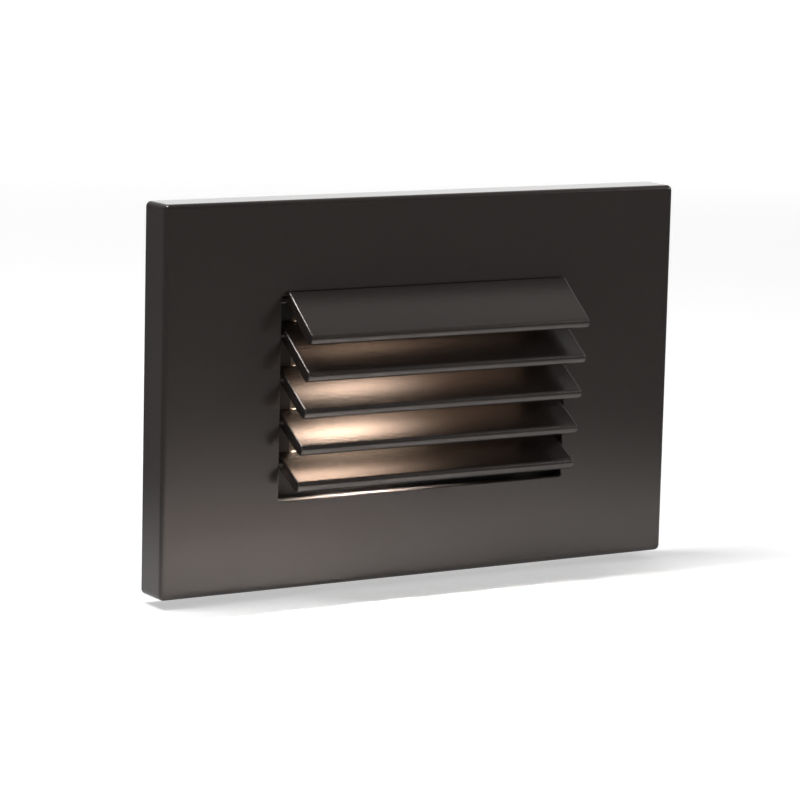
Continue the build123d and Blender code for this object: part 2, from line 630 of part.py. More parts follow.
with BuildPart() as driver_standoffs:
    with BuildSketch(facing_in(0, SPREADER_REAR_OUT, 0)):
        with Locations(*corner_places(STANDOFF_X, STANDOFF_Z)):
            Circle(STANDOFF_R)
    extrude(amount=STANDOFF_HEIGHT)
    with BuildSketch(facing_in(0, SPREADER_REAR_OUT + STANDOFF_PIN_DEPTH, 0)):
        with Locations(*corner_places(STANDOFF_X, STANDOFF_Z)):
            Circle(STANDOFF_PIN_R)
    extrude(amount=STANDOFF_PIN_DEPTH + STANDOFF_HEIGHT + DRIVER_THICKNESS)
    with BuildSketch(facing_in(0, DRIVER_REAR_OUT, 0)):
        with Locations(*corner_places(STANDOFF_X, STANDOFF_Z)):
            Circle(STANDOFF_CAP_R)
    extrude(amount=STANDOFF_CAP)
driver_standoffs.part.label = "driver_standoffs"
export_step(driver_standoffs.part, "parts/driver_standoffs.step")

# ---- Parts on the driver board ----

with BuildPart(facing_in(0, DRIVER_REAR_OUT, 0)) as driver_transformer:
    Box(*COIL_SIZE, align=(Align.CENTER, Align.CENTER, Align.MIN))
    fillet(driver_transformer.edges().filter_by(Axis.Y), COIL_EDGE_R)
    Box(*CORE_SIZE, align=(Align.CENTER, Align.CENTER, Align.MIN))
driver_transformer.part.label = "driver_transformer"
export_step(driver_transformer.part, "parts/driver_transformer.step")

with BuildPart() as driver_capacitors:
    with BuildSketch(facing_in(0, DRIVER_REAR_OUT, 0)):
        with Locations(*[(CAPACITOR_X, side * CAPACITOR_Z) for side in SIDES]):
            Circle(CAPACITOR_R)
    extrude(amount=CAPACITOR_LENGTH)
    fillet(driver_capacitors.faces().group_by(Axis.Y)[-1].edges(), CAPACITOR_EDGE_R)
driver_capacitors.part.label = "driver_capacitors"
export_step(driver_capacitors.part, "parts/driver_capacitors.step")

with BuildPart(facing_in(CHOKE_X, DRIVER_REAR_OUT, CHOKE_Z)) as driver_choke:
    Cylinder(CHOKE_WAIST_R, CHOKE_LENGTH, align=(Align.CENTER, Align.CENTER, Align.MIN))
    with Locations((0, 0, 0), (0, 0, CHOKE_LENGTH - CHOKE_FLANGE)):
        Cylinder(CHOKE_R, CHOKE_FLANGE, align=(Align.CENTER, Align.CENTER, Align.MIN))
driver_choke.part.label = "driver_choke"
export_step(driver_choke.part, "parts/driver_choke.step")

with BuildPart(facing_in(TERMINAL_X, DRIVER_REAR_OUT, TERMINAL_Z)) as driver_terminal:
    Box(*TERMINAL_SIZE, align=(Align.CENTER, Align.CENTER, Align.MIN))
    with BuildSketch(facing_in(TERMINAL_X, DRIVER_REAR_OUT - TERMINAL_SIZE[2], TERMINAL_Z)):
        with GridLocations(TERMINAL_PITCH, 0, TERMINAL_POLES, 1):
            Circle(TERMINAL_HOLE_R)
    extrude(amount=-TERMINAL_HOLE_DEPTH, mode=Mode.SUBTRACT)
driver_terminal.part.label = "driver_terminal"
export_step(driver_terminal.part, "parts/driver_terminal.step")

with BuildPart() as driver_chips:
    with Locations(*[facing_in(side * DRIVER_CHIP_X, DRIVER_REAR_OUT, 0) for side in SIDES]):
        Box(*DRIVER_CHIP_SIZE, align=(Align.CENTER, Align.CENTER, Align.MIN))
driver_chips.part.label = "driver_chips"
export_step(driver_chips.part, "parts/driver_chips.step")

# ---- Rear cover, its gasket and screws, and the grommet for the leads ----

with BuildPart() as cover_gasket:
    with BuildSketch(facing_in(0, HOUSING_REAR_OUT, 0)):
        RectangleRounded(HOUSING_WIDTH, HOUSING_HEIGHT, HOUSING_CORNER_R)
        RectangleRounded(CAVITY_WIDTH, CAVITY_HEIGHT, CAVITY_CORNER_R, mode=Mode.SUBTRACT)
        with Locations(*corner_places(POST_X, POST_Z)):
            Circle(POST_R)
        with Locations(*corner_places(POST_X, POST_Z)):
            Circle(M3_R + HOLE_CLEARANCE, mode=Mode.SUBTRACT)
    extrude(amount=COVER_GASKET_THICKNESS)
cover_gasket.part.label = "cover_gasket"
export_step(cover_gasket.part, "parts/cover_gasket.step")

with BuildPart() as rear_cover:
    with BuildSketch(facing_in(0, COVER_FRONT_OUT, 0)):
        RectangleRounded(HOUSING_WIDTH, HOUSING_HEIGHT, HOUSING_CORNER_R)
        with Locations(*corner_places(POST_X, POST_Z)):
            Circle(M3_R + HOLE_CLEARANCE, mode=Mode.SUBTRACT)
        Circle(GROMMET_NECK_R + SLIP_CLEARANCE, mode=Mode.SUBTRACT)
    extrude(amount=COVER_THICKNESS)
rear_cover.part.label = "rear_cover"
export_step(rear_cover.part, "parts/rear_cover.step")

cover_screw_list = [
    round_head_screw(
        facing_in(x, COVER_REAR_OUT, z),
        M3_R,
        COVER_SCREW_LENGTH,
        M3_HEAD_R,
        M3_HEAD_HEIGHT,
        M3_SOCKET,
    )
    for x, z in corner_places(POST_X, POST_Z)
]
with BuildPart() as cover_screws:
    add(cover_screw_list)
cover_screws.part.label = "cover_screws"
export_step(cover_screws.part, "parts/cover_screws.step")

with BuildPart() as lead_grommet:
    with BuildSketch(facing_in(0, COVER_FRONT_OUT + GROMMET_FLANGE, 0)):
        Circle(GROMMET_FLANGE_R)
    extrude(amount=GROMMET_FLANGE)
    with BuildSketch(facing_in(0, COVER_FRONT_OUT, 0)):
        Circle(GROMMET_NECK_R)
    extrude(amount=COVER_THICKNESS)
    with BuildSketch(facing_in(0, COVER_REAR_OUT, 0)):
        Circle(GROMMET_FLANGE_R)
    extrude(amount=GROMMET_FLANGE)
    with BuildSketch(facing_in(0, COVER_FRONT_OUT + GROMMET_FLANGE, 0)):
        Circle(GROMMET_BORE_R)
    extrude(amount=COVER_THICKNESS + 2 * GROMMET_FLANGE, mode=Mode.SUBTRACT)
lead_grommet.part.label = "lead_grommet"
export_step(lead_grommet.part, "parts/lead_grommet.step")

# ---- Mounting bracket: a bent steel channel with a window for the housing ----

with BuildPart() as mounting_bracket:
    with BuildSketch(Plane.YZ) as channel:
        with Locations((-BRACKET_FLANGE_OUT / 2, BRACKET_MIDDLE)):
            Rectangle(BRACKET_FLANGE_OUT, BRACKET_TOP + BRACKET_BOTTOM)
        fillet(channel.vertices().group_by(Axis.X)[-1], BRACKET_BEND_R + BRACKET_THICKNESS)
        with Locations((-(BRACKET_FLANGE_OUT + BRACKET_THICKNESS) / 2, BRACKET_MIDDLE)):
            Rectangle(
                BRACKET_FLANGE_OUT - BRACKET_THICKNESS,
                BRACKET_TOP + BRACKET_BOTTOM - 2 * BRACKET_THICKNESS,
                mode=Mode.SUBTRACT,
            )
    extrude(amount=BRACKET_CHANNEL_WIDTH / 2, both=True)
    with BuildSketch(facing_out(0, 0, 0)):
        RectangleRounded(BRACKET_WIDTH, BRACKET_WING_HEIGHT, BRACKET_CORNER_R)
    extrude(amount=BRACKET_THICKNESS)
    with BuildSketch(facing_out(0, 0, 0)):
        RectangleRounded(WINDOW_WIDTH, WINDOW_HEIGHT, WINDOW_CORNER_R)
        with Locations(*[(side * BOX_SCREW_SPACING / 2, 0) for side in SIDES]):
            Circle(BOX_SCREW_HOLE_R)
    extrude(amount=BRACKET_THICKNESS, mode=Mode.SUBTRACT)
mounting_bracket.part.label = "mounting_bracket"
export_step(mounting_bracket.part, "parts/mounting_bracket.step")

# ---- Set screws, up through the bottom rim against the bracket's lower flange ----

for side, side_name in zip(SIDES, ("left", "right")):
    tip = Plane.XY.offset(-BRACKET_BOTTOM - SET_SCREW_TIP_CLEARANCE)
    with BuildPart() as set_screw:
        with BuildSketch(tip):
            with Locations((side * SET_SCREW_X, -SET_SCREW_OUT)):
                Circle(M3_R)
        extrude(amount=-SET_SCREW_LENGTH)
        chamfer(set_screw.edges().filter_by(GeomType.CIRCLE).sort_by(Axis.Z)[-1], SET_SCREW_CHAMFER)
        with BuildSketch(tip.offset(-SET_SCREW_LENGTH)):
            with Locations((side * SET_SCREW_X, -SET_SCREW_OUT)):
                RegularPolygon(SET_SCREW_SOCKET / 2, 6, major_radius=False)
        extrude(amount=SET_SCREW_SOCKET_DEPTH, mode=Mode.SUBTRACT)
    set_screw.part.label = f"set_screw_{side_name}"
    export_step(set_screw.part, f"parts/{set_screw.part.label}.step")
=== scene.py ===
"""Looks of the louvred step light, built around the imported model. Lengths are in metres.

The row frame has +X to the right, +Y into the wall and +Z up. "Out" is a distance in front of the
wall, along -Y.
"""

import logging
from dataclasses import dataclass, field, replace
from enum import Enum
from math import cos, pi, radians, sin, tan

import bmesh
import bpy
from mathutils import Matrix, Vector


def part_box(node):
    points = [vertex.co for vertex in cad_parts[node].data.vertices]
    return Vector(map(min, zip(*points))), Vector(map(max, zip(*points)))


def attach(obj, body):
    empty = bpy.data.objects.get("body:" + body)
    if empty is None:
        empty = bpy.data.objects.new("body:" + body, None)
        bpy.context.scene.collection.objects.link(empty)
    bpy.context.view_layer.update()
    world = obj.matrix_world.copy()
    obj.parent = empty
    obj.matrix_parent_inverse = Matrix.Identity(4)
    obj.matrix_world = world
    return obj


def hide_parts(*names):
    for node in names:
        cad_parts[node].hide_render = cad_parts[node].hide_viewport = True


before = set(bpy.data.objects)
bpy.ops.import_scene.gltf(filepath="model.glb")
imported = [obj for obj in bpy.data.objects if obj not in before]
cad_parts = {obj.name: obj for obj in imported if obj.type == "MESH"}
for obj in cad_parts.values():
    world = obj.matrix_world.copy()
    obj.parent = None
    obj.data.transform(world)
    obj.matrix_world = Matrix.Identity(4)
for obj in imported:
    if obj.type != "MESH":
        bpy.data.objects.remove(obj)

MM = 0.001
LOG = logging.getLogger("step_light")
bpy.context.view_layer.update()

# What type hints stand for: sockets, a node's row of them, and what a socket can be given.
Socket = bpy.types.NodeSocket
Sockets = bpy.types.bpy_prop_collection
Triple = tuple[float, float, float]
Value = Socket | float | int | bool | str | tuple | Vector | bpy.types.ID


# ---- Node trees ----


class Desk:
    """A node tree with short ways to add nodes, set their inputs and join them."""

    def __init__(self, tree: bpy.types.NodeTree) -> None:
        """Take the tree to work on.

        Args:
            tree: the shader or geometry node tree.
        """
        self.tree = tree

    def node(
        self, kind: str, inputs: dict[str | int, Value] | None = None, **settings: object
    ) -> bpy.types.Node:
        """Add a node.

        Args:
            kind: the node's type name in Blender.
            inputs: values, or sockets to join, by input name or number.
            **settings: the node's own settings.

        Returns:
            The new node.
        """
        made = self.tree.nodes.new(kind)
        for name, value in settings.items():
            setattr(made, name, value)
        for name, value in (inputs or {}).items():
            self.feed(made.inputs[name], value)
        return made

    def feed(self, socket: Socket, value: Value) -> None:
        """Join a socket to an input, or set the input to a plain value.

        Args:
            socket: the input.
            value: an output socket, or the value.
        """
        if isinstance(value, Socket):
            self.tree.links.new(value, socket)
        else:
            socket.default_value = value

    def math(self, operation: str, a: Value, b: Value = 0.0, c: Value | None = None) -> Socket:
        """Add a Math node and return its result socket.

        Args:
            operation: the operation's name.
            a: first value or socket.
            b: second value or socket.
            c: third value or socket, where the operation has one.

        Returns:
            The output socket.
        """
        inputs = {0: a, 1: b} if c is None else {0: a, 1: b, 2: c}
        return self.node("ShaderNodeMath", inputs, operation=operation).outputs[0]

    def vector_math(
        self, operation: str, a: Value, b: Value = (0.0, 0.0, 0.0), output: str = "Vector"
    ) -> Socket:
        """Add a Vector Math node and return one of its result sockets.

        Args:
            operation: the operation's name.
            a: first vector or socket.
            b: second vector or socket.
            output: name of the result, "Vector" or "Value".

        Returns:
            The output socket.
        """
        return self.node("ShaderNodeVectorMath", {0: a, 1: b}, operation=operation).outputs[output]

    def vector(self, **axes: Value) -> Socket:
        """Join X, Y and Z into a vector. An axis that isn't given is 0.

        Args:
            **axes: the value or socket of each axis, by its name.

        Returns:
            The vector's socket.
        """
        return self.node("ShaderNodeCombineXYZ", axes).outputs[0]

    def split(self, vector: Value) -> Sockets:
        """Return the sockets X, Y and Z of a vector."""
        return self.node("ShaderNodeSeparateXYZ", {"Vector": vector}).outputs

    def spread(
        self, value: Value, low: float, high: float, to_low: Value = 0.0, to_high: Value = 1.0
    ) -> Socket:
        """Map a value from one range to another with a smooth step.

        Args:
            value: the value or socket.
            low: start of its range.
            high: end of its range.
            to_low: the result at the start and before it.
            to_high: the result at the end and past it.

        Returns:
            The result's socket.
        """
        inputs = {"Value": value, "From Min": low, "From Max": high, "To Min": to_low}
        inputs["To Max"] = to_high
        return self.node("ShaderNodeMapRange", inputs, interpolation_type="SMOOTHSTEP").outputs[0]

    def join(self, *parts: Socket) -> Socket:
        """Join geometries.

        Args:
            *parts: their sockets.

        Returns:
            The socket of all of them together.
        """
        both = self.node("GeometryNodeJoinGeometry")
        for part in parts:
            self.feed(both.inputs[0], part)
        return both.outputs[0]

    def moved(self, geometry: Socket, **changes: Value) -> Socket:
        """Move or turn a geometry.

        Args:
            geometry: its socket.
            **changes: its Translation and Rotation.

        Returns:
            The moved geometry's socket.
        """
        return self.node("GeometryNodeTransform", {"Geometry": geometry, **changes}).outputs[0]

    def pushed(
        self, outline: Socket, corners: dict[str, Value], push: Socket, front: bool
    ) -> Socket:
        """Round an outline's corners, fill it and push it out into a closed solid.

        Args:
            outline: the outline's socket, drawn in X and Y.
            corners: how its corners are rounded.
            push: how far and which way its face is pushed.
            front: whether the face looks outwards, as it does when pushed along -Z.

        Returns:
            The solid's socket.
        """
        inputs = {"Curve": outline, **corners}
        rounded = self.node("GeometryNodeFilletCurve", inputs, mode="POLY").outputs[0]
        face = self.node("GeometryNodeFillCurve", {"Curve": rounded}, mode="NGONS").outputs[0]
        inputs = {"Mesh": face, "Offset": push, "Offset Scale": 1.0, "Individual": False}
        slab = self.node("GeometryNodeExtrudeMesh", inputs, mode="FACES").outputs["Mesh"]
        flipped = self.node("GeometryNodeFlipFaces", {"Mesh": slab if front else face}).outputs[0]
        closed = self.join(flipped, face) if front else self.join(slab, flipped)
        inputs = {"Geometry": closed, "Distance": NOTHING}
        return self.node("GeometryNodeMergeByDistance", inputs).outputs[0]

    def only_if(self, size: Value, geometry: Socket) -> Socket:
        """Keep a geometry where a size is above 0.

        Args:
            size: the size.
            geometry: the geometry's socket.

        Returns:
            The geometry's socket, empty where the size is 0.
        """
        inputs = {"A": size, "B": NOTHING}
        wanted = self.node("FunctionNodeCompare", inputs, operation="GREATER_THAN").outputs[0]
        switch = self.node("GeometryNodeSwitch", {"Switch": wanted}, input_type="GEOMETRY")
        self.feed(switch.inputs["True"], geometry)
        return switch.outputs[0]

    def finished(self, geometry: Socket, finish: Socket) -> Socket:
        """Make a geometry real and give it its finish.

        Args:
            geometry: the geometry's socket.
            finish: the material's socket.

        Returns:
            The finished geometry's socket.
        """
        real = self.node("GeometryNodeRealizeInstances", {"Geometry": geometry}).outputs[0]
        inputs = {"Geometry": real, "Material": finish}
        return self.node("GeometryNodeSetMaterial", inputs).outputs[0]


def new_group(
    name: str, kind: str, inputs: list[tuple], outputs: list[tuple]
) -> tuple[bpy.types.NodeTree, Desk, Sockets, Sockets]:
    """Make a node group with named sockets.

    Args:
        name: the group's name.
        kind: "ShaderNodeTree" or "GeometryNodeTree".
        inputs: (name, socket type, default or None) of each input.
        outputs: (name, socket type) of each output.

    Returns:
        The group's tree, its desk, and its input and output nodes.
    """
    tree = bpy.data.node_groups.new(name, kind)
    for socket_name, socket_type, default in inputs:
        socket = tree.interface.new_socket(socket_name, in_out="INPUT", socket_type=socket_type)
        if default is not None:
            socket.default_value = default
    for socket_name, socket_type in outputs:
        tree.interface.new_socket(socket_name, in_out="OUTPUT", socket_type=socket_type)
    desk = Desk(tree)
    return tree, desk, desk.node("NodeGroupInput").outputs, desk.node("NodeGroupOutput").inputs


FLOAT, VECTOR, SHAPE = "NodeSocketFloat", "NodeSocketVector", "NodeSocketGeometry"
WHOLE, MATERIAL, THING = "NodeSocketInt", "NodeSocketMaterial", "NodeSocketObject"
# A length that counts as none, in metres; the depth of a small thread, in millimetres.
NOTHING = 1e-6
THREAD_DEPTH = 0.26
DUST_COLOUR = (0.5, 0.47, 0.43)
DUST_STRENGTH = 0.35


class SharedGroups:
    """The surface effects that several materials use, each built once."""

    def __init__(self) -> None:
        """Start with no group built."""
        self.built: dict[str, bpy.types.NodeTree] = {}

    def get(self, name: str) -> bpy.types.NodeTree:
        """Find a group, building it first if need be.

        Args:
            name: the effect's name, as in the method that builds it.

        Returns:
            The group's tree.
        """
        if name not in self.built:
            self.built[name] = getattr(self, f"build_{name}")()
        return self.built[name]

    def build_grain(self) -> bpy.types.NodeTree:
        """Fine cells, as on sprayed powder coat, cast skin or moulded plastic.

        Returns:
            The group's tree.
        """
        tree, desk, given, out = new_group(
            "Surface grain",
            "ShaderNodeTree",
            [("Vector", VECTOR, None), ("Scale", FLOAT, 1500.0), ("Softness", FLOAT, 0.5)],
            [("Height", FLOAT), ("Tone", FLOAT)],
        )
        inputs = {"Vector": given["Vector"], "Scale": given["Scale"]}
        fine = desk.node("ShaderNodeTexNoise", {**inputs, "Detail": 2.0})
        inputs["Smoothness"] = 1.0
        cells = desk.node("ShaderNodeTexVoronoi", inputs, feature="SMOOTH_F1")
        mix = desk.node("ShaderNodeMix", {"Factor": given["Softness"]}, data_type="FLOAT")
        desk.feed(mix.inputs[2], cells.outputs["Distance"])
        desk.feed(mix.inputs[3], fine.outputs["Fac"])
        desk.feed(out["Height"], mix.outputs[0])
        desk.feed(out["Tone"], desk.spread(fine.outputs["Fac"], 0.3, 0.7))
        return tree

    def build_cloud(self) -> bpy.types.NodeTree:
        """Broad soft patches, for colour and gloss that vary over a piece.

        Returns:
            The group's tree.
        """
        tree, desk, given, out = new_group(
            "Broad patches",
            "ShaderNodeTree",
            [("Vector", VECTOR, None), ("Scale", FLOAT, 60.0)],
            [("Mask", FLOAT)],
        )
        inputs = {"Vector": given["Vector"], "Scale": given["Scale"], "Detail": 3.0}
        noise = desk.node("ShaderNodeTexNoise", inputs)
        desk.feed(out["Mask"], desk.spread(noise.outputs["Fac"], 0.15, 0.85))
        return tree

    def build_dust(self) -> bpy.types.NodeTree:
        """Sparse specks of lint and dust.

        Returns:
            The group's tree.
        """
        tree, desk, given, out = new_group(
            "Dust specks",
            "ShaderNodeTree",
            [("Vector", VECTOR, None), ("Scale", FLOAT, 220.0), ("Amount", FLOAT, 0.1)],
            [("Mask", FLOAT)],
        )
        spots = desk.node(
            "ShaderNodeTexVoronoi", {"Vector": given["Vector"], "Scale": given["Scale"]}
        )
        lone = desk.node("ShaderNodeSeparateColor", {"Color": spots.outputs["Color"]}).outputs[0]
        kept = desk.math("LESS_THAN", lone, given["Amount"])
        size = desk.math("MULTIPLY", lone, 1.2)
        near = desk.math("LESS_THAN", spots.outputs["Distance"], size)
        desk.feed(out["Mask"], desk.math("MULTIPLY", kept, near))
        return tree

    def build_wear(self) -> bpy.types.NodeTree:
        """A mask along convex and concave edges, broken up, for rubbed and gathered finish.

        Returns:
            The group's tree.
        """
        tree, desk, given, out = new_group(
            "Edge wear",
            "ShaderNodeTree",
            [("Vector", VECTOR, None), ("Radius", FLOAT, 0.0006), ("Break Up", FLOAT, 700.0)],
            [("Mask", FLOAT)],
        )
        soft = desk.node("ShaderNodeBevel", {"Radius": given["Radius"]}, samples=4)
        true = desk.node("ShaderNodeNewGeometry")
        facing = desk.vector_math(
            "DOT_PRODUCT", soft.outputs["Normal"], true.outputs["Normal"], "Value"
        )
        edge = desk.spread(facing, 0.99, 0.86)
        noise = desk.node(
            "ShaderNodeTexNoise", {"Vector": given["Vector"], "Scale": given["Break Up"]}
        )
        broken = desk.spread(noise.outputs["Fac"], 0.35, 0.6)
        desk.feed(out["Mask"], desk.math("MULTIPLY", edge, broken))
        return tree

    def build_strokes(self) -> bpy.types.NodeTree:
        """Long fine lines along X, as rolling, milling or brushing leaves.

        Returns:
            The group's tree.
        """
        tree, desk, given, out = new_group(
            "Tool strokes",
            "ShaderNodeTree",
            [("Vector", VECTOR, None), ("Scale", FLOAT, 2500.0), ("Stretch", FLOAT, 0.02)],
            [("Height", FLOAT)],
        )
        axes = desk.split(given["Vector"])
        along = desk.math("MULTIPLY", axes["X"], given["Stretch"])
        drawn = desk.vector(X=along, Y=axes["Y"], Z=axes["Z"])
        inputs = {"Vector": drawn, "Scale": given["Scale"], "Detail": 1.0}
        desk.feed(out["Height"], desk.node("ShaderNodeTexNoise", inputs).outputs["Fac"])
        return tree


GROUPS = SharedGroups()


# ---- Finishes ----


class Texture(Enum):
    """Which fine texture a finish has in its surface."""

    GRAIN = "grain"
    STROKES = "strokes"


@dataclass(frozen=True)
class Finish:
    """A surface finish and how its material is built.

    Attributes:
        name: the material's name.
        slot: the record's material slot; not used here.
        colour: main colour, linear.
        second: colour of the broad patches.
        roughness: roughness at its smoothest.
        roughness_spread: how much the patches and grain add to it.
        metallic: how metallic it is.
        specular: the shader's specular level.
        specular_tint: tint of its reflections where they are faint.
        texture: kind of fine texture.
        grain_size: how fine the texture is; more is finer.
        grain_depth: depth of the texture, in metres.
        softness: how far the grain is rounded off.
        patch_size: how fine the broad patches are; more is finer.
        worn: colour of rubbed edges, or None.
        wear_radius: how far from an edge the rubbing reaches, in metres.
        dust: share of the surface's cells that hold a speck.
        coat: weight of a clear coat.
    """

    name: str
    slot: str
    colour: Triple
    second: Triple
    roughness: float = 0.4
    roughness_spread: float = 0.12
    metallic: float = 0.0
    specular: float = 0.5
    specular_tint: Triple = (1.0, 1.0, 1.0)
    texture: Texture = Texture.GRAIN
    grain_size: float = 1800.0
    grain_depth: float = 0.00002
    softness: float = 0.5
    patch_size: float = 70.0
    worn: Triple | None = None
    wear_radius: float = 0.0005
    dust: float = 0.0
    coat: float = 0.0

    def material(self) -> bpy.types.Material:
        """Return the material, building it the first time."""
        found = bpy.data.materials.get(self.name)
        return found if found else self.build()

    def build(self) -> bpy.types.Material:
        """Build the material from the shared groups.

        Returns:
            The new material.
        """
        made = bpy.data.materials.new(self.name)
        made.use_nodes = True
        desk = Desk(made.node_tree)
        surface = made.node_tree.nodes["Principled BSDF"]
        place = desk.node("ShaderNodeTexCoord").outputs["Object"]
        surface.inputs["Metallic"].default_value = self.metallic
        surface.inputs["Specular IOR Level"].default_value = self.specular
        surface.inputs["Specular Tint"].default_value = (*self.specular_tint, 1.0)
        surface.inputs["Coat Weight"].default_value = self.coat
        height, tone = self.fine_texture(desk, place)
        cloud = self.group(desk, "cloud", place, {"Scale": self.patch_size}).outputs["Mask"]
        colour = self.tint(desk, cloud, self.colour, self.second)
        colour = self.detail(desk, place, colour)
        if self.worn:
            wear = self.group(desk, "wear", place, {"Radius": self.wear_radius}).outputs["Mask"]
            colour = self.tint(desk, wear, colour, self.worn)
        if self.dust:
            specks = self.group(desk, "dust", place, {"Amount": self.dust}).outputs["Mask"]
            shown = desk.math("MULTIPLY", specks, DUST_STRENGTH)
            colour = self.tint(desk, shown, colour, DUST_COLOUR)
        desk.feed(surface.inputs["Base Color"], colour)
        both = desk.math("ADD", desk.math("MULTIPLY", cloud, 0.6), desk.math("MULTIPLY", tone, 0.4))
        rough = desk.math("MULTIPLY_ADD", both, self.roughness_spread, self.roughness)
        desk.feed(surface.inputs["Roughness"], rough)
        bump = desk.node(
            "ShaderNodeBump", {"Strength": 1.0, "Distance": self.grain_depth, "Height": height}
        )
        desk.feed(surface.inputs["Normal"], bump.outputs["Normal"])
        self.finish_build(made, desk, surface, place)
        return made

    def fine_texture(self, desk: Desk, place: Socket) -> tuple[Socket, Socket]:
        """Add the fine texture.

        Args:
            desk: the material's desk.
            place: the object coordinates' socket.

        Returns:
            The sockets of its height and its tone.
        """
        if self.texture is Texture.STROKES:
            strokes = self.group(desk, "strokes", place, {"Scale": self.grain_size})
            return strokes.outputs["Height"], strokes.outputs["Height"]
        grain = self.group(
            desk, "grain", place, {"Scale": self.grain_size, "Softness": self.softness}
        )
        return grain.outputs["Height"], grain.outputs["Tone"]

    def detail(self, desk: Desk, place: Socket, colour: Socket) -> Socket:
        """Draw what is special to this finish over its colour. A plain finish has nothing."""
        return colour

    def finish_build(
        self, made: bpy.types.Material, desk: Desk, surface: bpy.types.Node, place: Socket
    ) -> None:
        """Add what is special to this finish to its shader. A plain finish has nothing."""

    @staticmethod
    def group(desk: Desk, name: str, place: Socket, values: dict[str, float]) -> bpy.types.Node:
        """Place a shared group in this material with its own values.

        Args:
            desk: the material's desk.
            name: the effect's name.
            place: the object coordinates' socket.
            values: the group's other inputs, by name.

        Returns:
            The group's node.
        """
        node = desk.node("ShaderNodeGroup", node_tree=GROUPS.get(name))
        desk.feed(node.inputs["Vector"], place)
        for socket, value in values.items():
            node.inputs[socket].default_value = value
        return node

    @staticmethod
    def tint(desk: Desk, factor: Value, first: Socket | Triple, second: Socket | Triple) -> Socket:
        """Mix two colours, each a socket or three numbers.

        Args:
            desk: the material's desk.
            factor: share of the second.
            first: first colour.
            second: second colour.

        Returns:
            The mixed colour's socket.
        """
        mix = desk.node("ShaderNodeMix", {"Factor": factor}, data_type="RGBA")
        for number, colour in ((6, first), (7, second)):
            plain = isinstance(colour, tuple)
            desk.feed(mix.inputs[number], (*colour, 1.0) if plain else colour)
        return mix.outputs[2]


@dataclass(frozen=True)
class PaintedGlowLens(Finish):
    """Frosted lens whose glow is painted light: warm, and brightest in front of the light board.

    Attributes:
        glow: colour of the painted glow.
        strength: how bright it is in the middle.
        middle: place of the middle, in metres.
        reach: distance from the middle at which the glow has faded, in metres.
        floor_share: share of the glow left at the rim.
    """

    glow: Triple = (1.0, 0.78, 0.52)
    strength: float = 0.6
    middle: Triple = (-0.008, -0.0042, 0.0)
    reach: float = 0.020
    floor_share: float = 0.01

    def finish_build(
        self, made: bpy.types.Material, desk: Desk, surface: bpy.types.Node, place: Socket
    ) -> None:
        """Add the painted glow to the shader, as emission.

        Args:
            made: the material.
            desk: its desk.
            surface: its shader.
            place: the object coordinates' socket.
        """
        # Painted glow: emission that fades from the middle towards the rim, standing in for the
        # chips' light shining through the lens.
        distance = desk.vector_math("DISTANCE", place, self.middle, "Value")
        fall = desk.spread(distance, 0.0, self.reach, 1.0, 0.0)
        dim = tuple(self.floor_share * c * c for c in self.glow)
        colour = self.tint(desk, fall, dim, self.glow)
        desk.feed(surface.inputs["Emission Color"], colour)
        surface.inputs["Emission Strength"].default_value = self.strength
        surface.inputs["IOR"].default_value = 1.49
        made.cycles.emission_sampling = "NONE"


@dataclass(frozen=True)
class GlowingChip(Finish):
    """Phosphor of a lit chip.

    Attributes:
        glow: colour of its light.
        strength: how bright it is.
    """

    glow: Triple = (1.0, 0.72, 0.36)
    strength: float = 6.0

    def finish_build(
        self, made: bpy.types.Material, desk: Desk, surface: bpy.types.Node, place: Socket
    ) -> None:
        """Add the glow to the shader.

        Args:
            made: the material.
            desk: its desk.
            surface: its shader.
            place: the object coordinates' socket.
        """
        surface.inputs["Emission Color"].default_value = (*self.glow, 1.0)
        surface.inputs["Emission Strength"].default_value = self.strength
        made.cycles.emission_sampling = "NONE"


@dataclass(frozen=True)
class CircuitBoard(Finish):
    """Solder mask with copper tracks that show through it, and tinned pads.

    Attributes:
        track: colour of the mask over copper.
        pad: colour of bare tinned pads.
    """

    track: Triple = (0.03, 0.24, 0.10)
    pad: Triple = (0.62, 0.61, 0.58)

    def detail(self, desk: Desk, place: Socket, colour: Socket) -> Socket:
        """Draw the tracks and pads over the mask.

        Args:
            desk: the material's desk.
            place: the object coordinates' socket.
            colour: the colour so far.

        Returns:
            The new colour's socket.
        """
        axes = desk.split(place)
        tracks = desk.node(
            "ShaderNodeTexBrick",
            {
                "Vector": desk.vector(X=axes["X"], Y=axes["Z"]),
                "Scale": 260.0,
                "Mortar Size": 0.035,
                "Mortar Smooth": 0.05,
                "Brick Width": 0.9,
                "Row Height": 0.45,
            },
        )
        colour = self.tint(desk, tracks.outputs["Fac"], colour, self.track)
        pads = desk.node("ShaderNodeTexVoronoi", {"Vector": place, "Scale": 330.0})
        near = desk.math("LESS_THAN", pads.outputs["Distance"], 0.16)
        return self.tint(desk, near, colour, self.pad)


